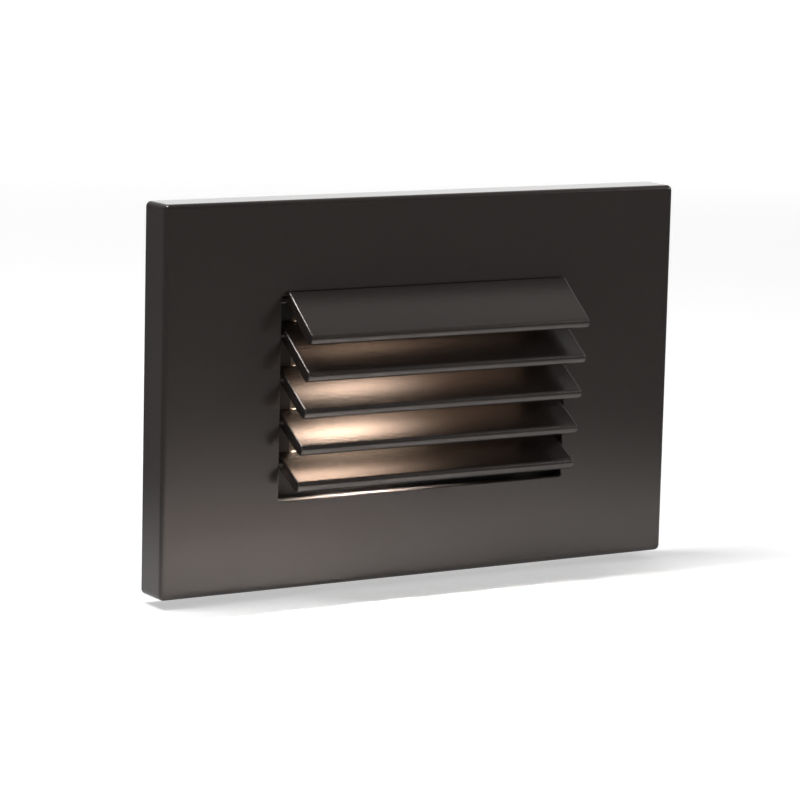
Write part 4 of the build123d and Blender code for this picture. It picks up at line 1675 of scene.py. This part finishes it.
    @staticmethod
    def root_block(desk: Desk, given: Sockets) -> Socket:
        """Add the block at the top blade's root.

        Args:
            desk: the tree's desk.
            given: the tree's inputs.

        Returns:
            Its geometry socket, empty where the root has no size.
        """
        block = desk.node("GeometryNodeMeshCube", {"Size": given["Root Size"]}).outputs[0]
        size = desk.vector_math("LENGTH", given["Root Size"], output="Value")
        return desk.only_if(size, desk.moved(block, Translation=given["Root Place"]))

    def build(self) -> None:
        """Make the five blades."""
        tree = self.tree()
        width, thickness, reach = self.tenon
        for index in range(self.count):
            top = index == 0
            fall = (self.bottom_slope - self.top_slope) * index / (self.count - 1)
            slope = radians(self.top_slope + fall)
            nose_out = self.nose[0] - self.step[0] * index
            nose_height = self.nose[1] - self.step[1] * index
            middle = nose_height + (nose_out - self.tenon_out) * tan(slope)
            middle += self.thickness / 2 / cos(slope)
            values = {
                "Length": self.length,
                "Thickness": self.thickness,
                "Slope": slope,
                "Nose Out": nose_out,
                "Nose Height": nose_height,
                "Rear Out": self.lip_out if top else self.rear_out,
                "Edge Radius": self.edge,
                "Nose Radius": self.nose_edge,
                "Tenon Turn": 0.0 if top else slope,
                "Tenon Height": self.root[1] if top else middle,
                "Tenon Out": self.tenon_out,
                "Tenon Size": (width, thickness, 2 * reach),
                "Root Place": (-self.root[0], self.root[1], 0.0),
                "Root Size": (*self.root_size, self.length - 2 * self.edge) if top else (0, 0, 0),
                "Finish": Finishes.BLADE_PAINT.material(),
            }
            name = f"louvre_blade_{index + 1}"
            blade = grow(f"{name}_cast", tree, values, bevel=self.end_edge, crease=self.crease)
            place(blade, Body.LIGHT, Finishes.BLADE_PAINT, name)


# ---- Lens unit ----


@dataclass(frozen=True)
class Glow:
    """One soft spot of light on the lens. Lengths are in millimetres.

    Attributes:
        place: X and Z of its middle.
        spread: how far it reaches along X and Z.
        strength: its strength in the middle.
        colour: its colour.
    """

    place: tuple[float, float]
    spread: tuple[float, float]
    strength: float
    colour: Triple


@dataclass(frozen=True)
class Beam:
    """Light that leaves the lens, as one lamp in front of it.

    Attributes:
        name: the lamp's name.
        spread: how widely it fans out, in degrees.
        glows: the spots that add up to it.
    """

    name: str
    spread: float
    glows: tuple[Glow, ...]


@dataclass
class LensUnit:
    """The prismatic lens with its frame, gasket and reflector, and the lamps that carry its light.

    Lengths are in millimetres.

    Attributes:
        size: width and height of the lens.
        thickness: its thickness.
        corner: radius of its corners.
        front_out: how far out its front is.
        window: width and height of the field of prisms.
        prism: radius of a prism's foot.
        prism_rise: height of a prism.
        lamp_out: how far out the light starts.
        beams: the light that leaves it.
        power: power of a beam's lamp in watts at a strength of 1.
    """

    size: tuple[float, float] = (64.4, 38.4)
    thickness: float = 2.5
    corner: float = 2.5
    front_out: float = 4.2
    window: tuple[float, float] = (61.2, 33.6)
    prism: float = 0.33
    prism_rise: float = 0.25
    lamp_out: float = 4.6
    beams: tuple[Beam, ...] = (
        Beam(
            "Lens light",
            112.0,
            (
                Glow((-14.0, 16.4), (14.0, 2.0), 145.0, (1.0, 0.74, 0.54)),
                Glow((2.0, 16.4), (22.0, 2.0), 25.0, (1.0, 0.74, 0.54)),
                Glow((-14.5, 7.2), (13.2, 2.1), 435.0, (1.0, 0.81, 0.64)),
                Glow((-16.5, -2.0), (13.2, 2.1), 830.0, (1.0, 0.81, 0.64)),
                Glow((-22.0, -11.3), (17.0, 1.8), 560.0, (1.0, 0.78, 0.60)),
                Glow((2.0, 6.0), (28.0, 12.0), 18.0, (1.0, 0.68, 0.48)),
            ),
        ),
        Beam(
            "Lens edge light",
            170.0,
            (Glow((-16.5, -16.2), (9.5, 0.8), 26000.0, (1.0, 0.94, 0.86)),),
        ),
    )
    power: float = 0.001

    def build(self) -> None:
        """Dress the nodes, make the lens and light it."""
        dress("lens_retainer", Finishes.BLACKENED)
        dress("lens_gasket", Finishes.RUBBER)
        dress("reflector", Finishes.REFLECTOR)
        self.build_lens()
        for beam in self.beams:
            self.build_beam(beam)

    def build_lens(self) -> None:
        """Make the lens: a rounded slab with rows of small prisms on its front."""
        tree, desk, given, out = new_group(
            "Prismatic lens",
            "GeometryNodeTree",
            [
                ("Geometry", SHAPE, None),
                ("Width", FLOAT, 0.064),
                ("Height", FLOAT, 0.038),
                ("Thickness", FLOAT, 0.0025),
                ("Corner", FLOAT, 0.0025),
                ("Field Width", FLOAT, 0.061),
                ("Field Height", FLOAT, 0.034),
                ("Columns", WHOLE, 49),
                ("Rows", WHOLE, 27),
                ("Prism", FLOAT, 0.0006),
                ("Rise", FLOAT, 0.0003),
                ("Place", VECTOR, (0.0, 0.0, 0.0)),
                ("Turn", FLOAT, 0.0),
                ("Finish", MATERIAL, None),
            ],
            [("Geometry", SHAPE)],
        )
        inputs = {"Width": given["Width"], "Height": given["Height"]}
        outline = desk.node("GeometryNodeCurvePrimitiveQuadrilateral", inputs).outputs[0]
        push = desk.vector(Z=desk.math("MULTIPLY", given["Thickness"], -1.0))
        slab = desk.pushed(outline, {"Count": 6, "Radius": given["Corner"]}, push, front=True)
        field_points = desk.node(
            "GeometryNodeMeshGrid",
            {
                "Size X": given["Field Width"],
                "Size Y": given["Field Height"],
                "Vertices X": given["Columns"],
                "Vertices Y": given["Rows"],
            },
        )
        prism = desk.node(
            "GeometryNodeMeshCone",
            {
                "Vertices": 6,
                "Radius Top": desk.math("MULTIPLY", given["Prism"], 0.25),
                "Radius Bottom": given["Prism"],
                "Depth": given["Rise"],
            },
        )
        inputs = {"Points": field_points.outputs[0], "Instance": prism.outputs[0]}
        prisms = desk.node("GeometryNodeInstanceOnPoints", inputs).outputs[0]
        both = desk.join(slab, prisms)
        turn = desk.vector(X=given["Turn"])
        standing = desk.moved(both, Translation=given["Place"], Rotation=turn)
        desk.feed(out["Geometry"], desk.finished(standing, given["Finish"]))
        values = {
            "Width": self.size[0] * MM,
            "Height": self.size[1] * MM,
            "Thickness": self.thickness * MM,
            "Corner": self.corner * MM,
            "Field Width": (self.window[0] - 2 * self.prism) * MM,
            "Field Height": (self.window[1] - 2 * self.prism) * MM,
            "Columns": int(self.window[0] / (2 * self.prism)),
            "Rows": int(self.window[1] / (2 * self.prism)),
            "Prism": self.prism * MM,
            "Rise": self.prism_rise * MM,
            "Place": at(0.0, self.front_out, 0.0),
            "Turn": Facing.OUT.value,
            "Finish": Finishes.LENS.material(),
        }
        place(grow("lens_moulded", tree, values), Body.LIGHT, Finishes.LENS, "lens")

    def build_beam(self, beam: Beam) -> None:
        """Make a beam's lamp: it covers the window and is as strong as its spots add up to.

        Args:
            beam: the beam.
        """
        size = (self.window[0] * MM, self.window[1] * MM)
        here, ahead = at(0.0, self.lamp_out, 0.0), at(0.0, self.lamp_out + 100.0, 0.0)
        lamp = Lamp(beam.name, here, ahead, size, self.power).build()
        lamp.visible_camera = False
        lamp.data.spread = radians(beam.spread)
        lamp.data.use_nodes = True
        desk = Desk(lamp.data.node_tree)
        emission = lamp.data.node_tree.nodes["Emission"]
        spot = desk.node("ShaderNodeNewGeometry").outputs["Position"]
        axes = desk.split(spot)
        total = None
        for glow in beam.glows:
            shares = []
            for axis, middle, spread in zip("XZ", glow.place, glow.spread):
                off = desk.math("SUBTRACT", axes[axis], middle * MM)
                off = desk.math("DIVIDE", off, spread * MM)
                shares.append(desk.math("MULTIPLY", off, off))
            fall = desk.math("MULTIPLY", desk.math("ADD", *shares), -1.0)
            bright = desk.math("MULTIPLY", desk.math("EXPONENT", fall), glow.strength)
            inputs = {0: glow.colour, "Scale": bright}
            tinted = desk.node("ShaderNodeVectorMath", inputs, operation="SCALE").outputs[0]
            total = tinted if total is None else desk.vector_math("ADD", total, tinted)
        desk.feed(emission.inputs["Color"], total)
        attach(lamp, Body.LIGHT.value)


# ---- Light source ----


@dataclass
class LightSource:
    """The light board with its chips, on the heat spreader. Lengths are in millimetres.

    Attributes:
        board_out: how far out the board's front is.
        chip_size: width of a chip.
        chip_height: height of a chip's carrier.
        dome: radius and height of the phosphor.
        pitch: distance between chips along X and Z.
        columns: number of chips in a row.
        rows: number of rows.
        contact_out: how far out the connector's face is.
        contact_places: X and Z of the connector's contacts.
        resistor_places: X and Z of the resistors.
    """

    board_out: float = -10.0
    chip_size: float = 3.0
    chip_height: float = 0.55
    dome: tuple[float, float] = (1.15, 0.15)
    pitch: tuple[float, float] = (7.0, 8.0)
    columns: int = 4
    rows: int = 2
    contact_out: float = -7.9
    contact_places: tuple[tuple[float, float], ...] = ((-1.25, -8.8), (1.25, -8.8))
    resistor_places: tuple[tuple[float, float], ...] = ((-7.5, -9.0), (7.5, -9.0), (11.5, -9.0))

    def build(self) -> None:
        """Dress the board, its connector and the spreader, and set the small parts on it."""
        dress("led_board", Finishes.LIGHT_BOARD)
        dress("led_connector", Finishes.CONNECTOR)
        dress("heat_spreader", Finishes.SPREADER)
        self.build_chips()
        self.build_contacts()
        spots = [at(x, self.board_out, z) for x, z in self.resistor_places]
        resistors = SmallParts.resistors("light_board_resistors", spots, Facing.OUT)
        place(resistors, Body.LIGHT, Finishes.CHIP_BODY)

    def build_chips(self) -> None:
        """Make the chips: a carrier, a phosphor dome and a solder joint on each side."""
        half, height = self.chip_size / 2, self.chip_height
        radius, rise = self.dome
        chip = Shape()
        chip.box((-half, -half, 0.08), (half, half, height), bevel=0.1)
        rings = [(0.0, height - 0.1), (radius, height - 0.1), (radius, height + 0.3 * rise)]
        rings += [(0.7 * radius, height + 0.85 * rise), (0.0, height + rise)]
        chip.lathe(rings, finish=1, segments=24)
        for side in (-1, 1):
            low, high = sorted((side * (half - 0.35), side * (half + 0.2)))
            chip.box((low, -0.8 * half, 0.0), (high, 0.8 * half, 0.16), finish=2, bevel=0.05)
        spots = [
            at(
                (column - (self.columns - 1) / 2) * self.pitch[0],
                self.board_out,
                (row - (self.rows - 1) / 2) * self.pitch[1],
            )
            for row in range(self.rows)
            for column in range(self.columns)
        ]
        finishes = [Finishes.CHIP_BODY, Finishes.PHOSPHOR, Finishes.SOLDER]
        chips = repeat("led_chips_lit", chip, spots, Facing.OUT, finishes)
        place(chips, Body.LIGHT, Finishes.CHIP_BODY, "led_chips")

    def build_contacts(self) -> None:
        """Make the contacts in the connector's two holes."""
        pin = Shape()
        pin.lathe([(0.0, -1.4), (0.3, -1.4), (0.3, -0.3), (0.15, -0.1), (0.0, -0.1)], segments=12)
        spots = [at(x, self.contact_out, z) for x, z in self.contact_places]
        contacts = repeat("connector_contacts", pin, spots, Facing.OUT, [Finishes.SOLDER])
        place(contacts, Body.LIGHT, Finishes.SOLDER)


class SmallParts:
    """Surface mounted parts that both boards carry."""

    @staticmethod
    def resistors(name: str, spots: list[Vector], facing: Facing) -> bpy.types.Object:
        """Set chip resistors on a board.

        Args:
            name: the piece's name.
            spots: where they go.
            facing: where the board's face points.

        Returns:
            The piece.
        """
        part = Shape()
        part.box((-0.75, -0.4, 0.06), (0.75, 0.4, 0.46), finish=1, bevel=0.04)
        for side in (-1, 1):
            low, high = sorted((side * 0.68, side * 1.0))
            part.box((low, -0.42, 0.0), (high, 0.42, 0.5), bevel=0.06)
        return repeat(name, part, spots, facing, [Finishes.SOLDER, Finishes.CHIP])


# ---- Driver ----


@dataclass
class Driver:
    """The driver board and what stands on its rear. Lengths are in millimetres.

    Attributes:
        rear_out: how far out the board's rear is.
        core: width, height and depth of the transformer's core.
        core_leg: thickness of the core's legs and yokes.
        coil: width, height and depth of its coil.
        coil_corner: radius of the wound coil's corners.
        can: radius and length of a capacitor.
        can_places: X and Z of the capacitors.
        choke: flange radius, length, waist radius and flange thickness of the choke.
        choke_place: X and Z of the choke.
        wire: radius of the choke's wire.
        terminal_screws: X of the terminal's screws, and out and Z of their heads.
        chip_places: X and Z of the two chips.
        chip_size: width, height and depth of a chip's body.
        lead_pitch: distance from one of a chip's leads to the next.
        resistor_places: X and Z of the small parts.
    """

    rear_out: float = -21.6
    core: Triple = (16.0, 6.0, 9.5)
    core_leg: float = 2.0
    coil: Triple = (11.0, 13.0, 7.0)
    coil_corner: float = 0.9
    can: tuple[float, float] = (4.0, 10.0)
    can_places: tuple[tuple[float, float], ...] = ((15.0, 5.0), (15.0, -5.0))
    choke: tuple[float, float, float, float] = (3.5, 6.5, 2.6, 1.0)
    choke_place: tuple[float, float] = (-17.0, 5.0)
    wire: float = 0.24
    terminal_screws: tuple[tuple[float, ...], float, float] = ((-18.0, -15.0, -12.0), -25.0, -8.0)
    chip_places: tuple[tuple[float, float], ...] = ((24.0, 0.0), (-24.0, 0.0))
    chip_size: Triple = (3.4, 5.0, 1.6)
    lead_pitch: float = 1.27
    resistor_places: tuple[tuple[float, float], ...] = (
        (-9.0, 10.6),
        (-5.6, 10.2),
        (-2.4, 10.6),
        (1.2, 10.2),
        (4.4, 10.6),
        (8.0, 10.9),
        (-6.6, -10.4),
        (-3.0, -10.7),
        (0.4, -10.3),
        (4.0, -10.7),
        (7.4, -10.8),
        (24.4, 5.6),
        (24.4, -5.4),
        (-24.2, 5.6),
        (-24.6, -5.2),
        (-14.0, -11.0),
        (14.6, -11.3),
        (14.6, 11.3),
    )

    def build(self) -> None:
        """Dress the board, its standoffs and terminal, and make what stands on it."""
        dress("driver_board", Finishes.DRIVER_BOARD)
        dress("driver_standoffs", Finishes.BRASS)
        dress("driver_terminal", Finishes.TERMINAL)
        self.build_transformer()
        self.build_capacitors()
        self.build_choke()
        self.build_chips()
        self.build_terminal_screws()
        spots = [at(x, self.rear_out, z) for x, z in self.resistor_places]
        resistors = SmallParts.resistors("driver_board_resistors", spots, Facing.IN)
        place(resistors, Body.LIGHT, Finishes.CHIP)

    def build_transformer(self) -> None:
        """Make the transformer: a ferrite frame round a taped coil on a bobbin with pins."""
        width, height, depth = self.core
        leg = self.core_leg
        shape = Shape()
        for side in (-1, 1):
            low, high = sorted((side * width / 2, side * (width / 2 - leg)))
            shape.box((low, -height / 2, 0.4), (high, height / 2, depth), bevel=0.2)
        for base in (0.4, depth - leg):
            shape.box(
                (-width / 2 + 0.1, -height / 2 + 0.05, base),
                (width / 2 - 0.1, height / 2 - 0.05, base + leg),
                bevel=0.15,
            )
        wide, tall, deep = self.coil
        half_wide, half_tall = wide / 2 - 0.4, tall / 2 - 0.4
        low, high = (-half_wide, -half_tall, 1.0), (half_wide, half_tall, deep - 0.7)
        shape.box(low, high, 1, self.coil_corner)
        for base in (0.0, deep - 0.8):
            shape.box((-wide / 2, -tall / 2, base), (wide / 2, tall / 2, base + 0.8), 2, 0.25)
        finishes = [Finishes.FERRITE, Finishes.TAPE, Finishes.CHIP]
        spot = [at(0.0, self.rear_out, 0.0)]
        piece = repeat("transformer_wound", shape, spot, Facing.IN, finishes)
        place(piece, Body.LIGHT, Finishes.TAPE, "driver_transformer")

    def build_capacitors(self) -> None:
        """Make the capacitors: a sleeved can with a crimp and a scored top."""
        radius, length = self.can
        can = Shape()
        rings = [(0.0, 0.0), (radius - 0.3, 0.0), (radius, 0.3), (radius, 1.0)]
        rings += [(radius - 0.35, 1.4), (radius - 0.35, 1.7), (radius, 2.1)]
        rings += [(radius, length - 0.6), (radius - 0.2, length - 0.2)]
        rings += [(radius - 0.6, length), (radius - 1.0, length), (radius - 1.05, length - 0.15)]
        rings += [(0.0, length - 0.15)]
        can.lathe(rings)
        for turn in ((1.0, 0.08), (0.08, 1.0)):
            reach = [0.62 * radius * share for share in turn]
            can.box(
                (-reach[0], -reach[1], length - 0.2), (reach[0], reach[1], length - 0.12), finish=1
            )
        can.lathe(
            [(0.0, length - 0.3), (radius - 1.1, length - 0.3), (radius - 1.1, length - 0.14)]
            + [(0.0, length - 0.14)],
            finish=1,
        )
        spots = [at(x, self.rear_out, z) for x, z in self.can_places]
        finishes = [Finishes.SLEEVE, Finishes.CAN_TOP]
        cans = repeat("capacitor_cans", can, spots, Facing.IN, finishes)
        place(cans, Body.LIGHT, Finishes.SLEEVE, "driver_capacitors")

    def build_choke(self) -> None:
        """Make the choke: a ferrite drum wound with enamelled wire."""
        flange, length, waist, thick = self.choke
        drum = Shape()
        rings = [(0.0, 0.0), (flange, 0.0), (flange, thick), (waist, thick)]
        rings += [(waist, length - thick), (flange, length - thick), (flange, length)]
        rings += [(0.0, length)]
        drum.lathe(rings)
        spot = [at(self.choke_place[0], self.rear_out, self.choke_place[1])]
        turns = Thread(waist + 2 * self.wire, length - 2 * thick, thick, 2 * self.wire / 0.96)
        wound = repeat("choke_wound", drum, spot, Facing.IN, [Finishes.FERRITE])
        place(wound, Body.LIGHT, Finishes.FERRITE, "driver_choke")
        wire = Shape()
        wire.lathe(
            [(0.0, thick + 0.1), (waist, thick + 0.1), (waist, length - thick - 0.1)]
            + [(0.0, length - thick - 0.1)]
        )
        winding = repeat("choke_winding", wire, spot, Facing.IN, [Finishes.COPPER], turns)
        place(winding, Body.LIGHT, Finishes.COPPER)

    def build_chips(self) -> None:
        """Make the two chips with their leads."""
        width, height, depth = self.chip_size
        chip = Shape()
        chip.box((-width / 2, -height / 2, 0.15), (width / 2, height / 2, depth), bevel=0.12)
        low, top = depth - 0.1, depth + 0.01
        chip.lathe([(0.0, low), (0.3, low), (0.3, top), (0.0, top)])
        stretches = ((-0.2, 0.3, 0.6, 0.8), (0.15, 0.32, 0.0, 0.78), (0.15, 0.6, 0.0, 0.15))
        for side in (-1, 1):
            for step in (-1.5, -0.5, 0.5, 1.5):
                middle = step * self.lead_pitch
                for near, far, base, top in stretches:
                    low, high = sorted((side * (width / 2 + near), side * (width / 2 + far)))
                    chip.box((low, middle - 0.2, base), (high, middle + 0.2, top), 1)
        spots = [at(x, self.rear_out, z) for x, z in self.chip_places]
        finishes = [Finishes.CHIP, Finishes.SOLDER]
        chips = repeat("driver_chips_leaded", chip, spots, Facing.IN, finishes)
        place(chips, Body.LIGHT, Finishes.CHIP, "driver_chips")

    def build_terminal_screws(self) -> None:
        """Make the slotted screws in the terminal's lower side."""
        screw = Shape()
        screw.lathe([(0.0, -0.6), (1.0, -0.6), (1.0, 0.05), (0.9, 0.15), (0.0, 0.15)], segments=24)
        screw.box((-0.95, -0.12, 0.13), (0.95, 0.12, 0.16), finish=1)
        places, out, height = self.terminal_screws
        spots = [at(x, out, height) for x in places]
        finishes = [Finishes.SCREW, Finishes.FERRITE]
        screws = repeat("terminal_clamp_screws", screw, spots, Facing.DOWN, finishes)
        place(screws, Body.LIGHT, Finishes.SCREW)


# ---- Housing ----


@dataclass
class Housing:
    """The lamp housing, its rear cover, their gasket and the grommet for the leads."""

    def build(self) -> None:
        """Dress the nodes."""
        dress("lamp_housing", Finishes.CAST)
        dress("rear_cover", Finishes.CAST)
        dress("cover_gasket", Finishes.RUBBER)
        dress("lead_grommet", Finishes.GROMMET)


# ---- Fasteners ----


@dataclass
class ButtonScrew:
    """A screw with a round head and a hexagon socket. Lengths are in millimetres.

    Attributes:
        radius: radius over the thread.
        length: length of the shank.
        head_radius: radius of the head.
        head_height: height of the head.
        socket: width of the socket across its flats.
    """

    radius: float = 1.5
    length: float = 8.0
    head_radius: float = 2.75
    head_height: float = 1.8
    socket: float = 2.0

    def shape(self) -> Shape:
        """Draw the screw without its thread, head up, with its seat at height 0.

        Returns:
            The shape.
        """
        core = self.radius - THREAD_DEPTH
        head, top, edge = self.head_radius, self.head_height, 0.33 * self.head_height
        rings = [(0.0, -self.length), (0.7 * core, -self.length), (core, -self.length + 0.4)]
        rings += [(core, 0.0), (head - 0.08, 0.0), (head, 0.08), (head, top - 2.0 * edge)]
        for step in range(1, 7):
            angle = step * pi / 12
            rings.append((head - 2 * edge * (1 - cos(angle)), top - 2 * edge * (1 - sin(angle))))
        hex_from = len(rings) + 1
        half = self.socket / 2
        rings += [(half + 0.25, top), (half, top - 0.12), (half, 0.4 * top)]
        rings += [(0.0, 0.4 * top - 0.25)]
        made = Shape()
        made.lathe(rings, hex_from=hex_from)
        return made

    def thread(self) -> Thread:
        """Return the thread of its shank."""
        return Thread(self.radius, self.length - 0.6, -self.length + 0.2)


@dataclass
class FlatScrew:
    """A countersunk screw with a hexagon socket. Lengths are in millimetres.

    Attributes:
        radius: radius over the thread.
        length: length from the flat top to the tip.
        head_radius: radius of the head.
        socket: width of the socket across its flats.
    """

    radius: float = 1.5
    length: float = 5.0
    head_radius: float = 2.8
    socket: float = 2.0

    def shape(self) -> Shape:
        """Draw the screw without its thread, head up, with its flat top at height 0.

        Returns:
            The shape.
        """
        core = self.radius - THREAD_DEPTH
        cone = self.head_radius - self.radius
        rings = [(0.0, -self.length), (0.7 * core, -self.length), (core, -self.length + 0.4)]
        rings += [(core, -cone - THREAD_DEPTH), (self.radius, -cone)]
        rings += [(self.head_radius - 0.03, -0.12)]
        rings += [(self.head_radius - 0.03, -0.05), (self.head_radius - 0.1, 0.0)]
        hex_from = len(rings) + 1
        half = self.socket / 2
        rings += [(half + 0.25, 0.0), (half, -0.1), (half, -1.0), (0.0, -1.25)]
        made = Shape()
        made.lathe(rings, hex_from=hex_from)
        return made

    def thread(self) -> Thread:
        """Return the thread of its shank."""
        cone = self.head_radius - self.radius
        return Thread(self.radius, self.length - cone - 0.3, -self.length + 0.2)


@dataclass
class SetScrew:
    """A headless screw with a hexagon socket in its upper end. Lengths are in millimetres.

    Attributes:
        radius: radius over the thread.
        length: its whole length.
        socket: width of the socket across its flats.
        socket_depth: depth of the socket's flats.
    """

    radius: float = 1.5
    length: float = 4.5
    socket: float = 1.5
    socket_depth: float = 2.0

    def shape(self) -> Shape:
        """Draw the screw without its thread, socket up, with its tip at height 0.

        Returns:
            The shape.
        """
        core, top = self.radius - THREAD_DEPTH, self.length
        rings = [(0.0, 0.0), (0.6 * core, 0.0), (core, 0.35), (core, top - 0.1)]
        rings += [(core - 0.1, top)]
        hex_from = len(rings) + 1
        half = self.socket / 2
        rings += [(half + 0.2, top), (half, top - 0.1), (half, top - self.socket_depth)]
        rings += [(0.0, top - self.socket_depth - 0.2)]
        made = Shape()
        made.lathe(rings, hex_from=hex_from)
        return made

    def thread(self) -> Thread:
        """Return the thread over nearly its whole length."""
        return Thread(self.radius, self.length - 0.3, 0.15)


@dataclass
class Fasteners:
    """Every screw. Lengths are in millimetres.

    Attributes:
        board_x: X of the light board's screws.
        board_seat: how far out their heads' seats are.
        post: X and Z of the housing's posts.
        spreader_seat: how far out the seats of the heat spreader's screws are.
        cover_seat: how far out the seats of the rear cover's screws are.
        pad: X and Z of the faceplate's screw pads.
        flange_seat: how far out the flat tops of the screws in them are.
        set_screw_x: X of the set screws.
        set_screw_out: how far out they are.
        set_screw_tip: height of their tips.
    """

    board_x: float = 17.0
    board_seat: float = -10.0
    post: tuple[float, float] = (29.5, 16.5)
    spreader_seat: float = -11.6
    cover_seat: float = -36.6
    pad: tuple[float, float] = (30.0, 26.9)
    flange_seat: float = 1.9
    set_screw_x: float = 38.0
    set_screw_out: float = 3.2
    set_screw_tip: float = -36.275

    def corners(self, spot: tuple[float, float], out: float) -> list[Vector]:
        """Return the four places at plus and minus a spot's X and Z."""
        signs = ((-1, -1), (1, -1), (-1, 1), (1, 1))
        return [at(x * spot[0], out, z * spot[1]) for x, z in signs]

    def build(self) -> None:
        """Make every screw."""
        boards = [at(side * self.board_x, self.board_seat, 0.0) for side in (-1, 1)]
        board_screw = ButtonScrew(1.25, 4.2, 2.0, 1.2, 1.5)
        self.drive("board_screws", board_screw, boards, Facing.OUT)
        posts = self.corners(self.post, self.spreader_seat)
        self.drive("spreader_screws", ButtonScrew(), posts, Facing.OUT)
        covers = self.corners(self.post, self.cover_seat)
        self.drive("cover_screws", ButtonScrew(), covers, Facing.IN)
        pads = self.corners(self.pad, self.flange_seat)
        self.drive("housing_screws", FlatScrew(), pads, Facing.IN)
        for side, name, body in ((-1, "left", Body.LEFT_SCREW), (1, "right", Body.RIGHT_SCREW)):
            spot = [at(side * self.set_screw_x, self.set_screw_out, self.set_screw_tip)]
            node = f"set_screw_{name}"
            self.drive(node, SetScrew(), spot, Facing.DOWN, body, Finishes.SET_SCREW)

    @staticmethod
    def drive(
        node: str,
        screw: ButtonScrew | FlatScrew | SetScrew,
        spots: list[Vector],
        facing: Facing,
        body: Body = Body.LIGHT,
        finish: Finish = Finishes.SCREW,
    ) -> None:
        """Set a kind of screw at its places.

        Args:
            node: the CAD node that the piece stands for.
            screw: the screw.
            spots: its places.
            facing: where its socket points.
            body: the body it rides on.
            finish: its finish.
        """
        piece = repeat(f"{node}_cut", screw.shape(), spots, facing, [finish], screw.thread())
        place(piece, body, finish, node)


@dataclass
class WallBracket:
    """The bent steel bracket that stays on the wall box."""

    def build(self) -> None:
        """Dress the node."""
        dress("mounting_bracket", Finishes.BRACKET)


def main() -> None:
    """Build the studio and every sub-assembly in order."""
    logging.basicConfig(level=logging.INFO, format="%(name)s: %(message)s")
    Camera().build()
    Studio().build()
    for part in (
        Faceplate(),
        Louvre(),
        LensUnit(),
        LightSource(),
        Driver(),
        Housing(),
        Fasteners(),
        WallBracket(),
    ):
        LOG.info("building %s", type(part).__name__)
        part.build()


if __name__ == "__main__":
    main()
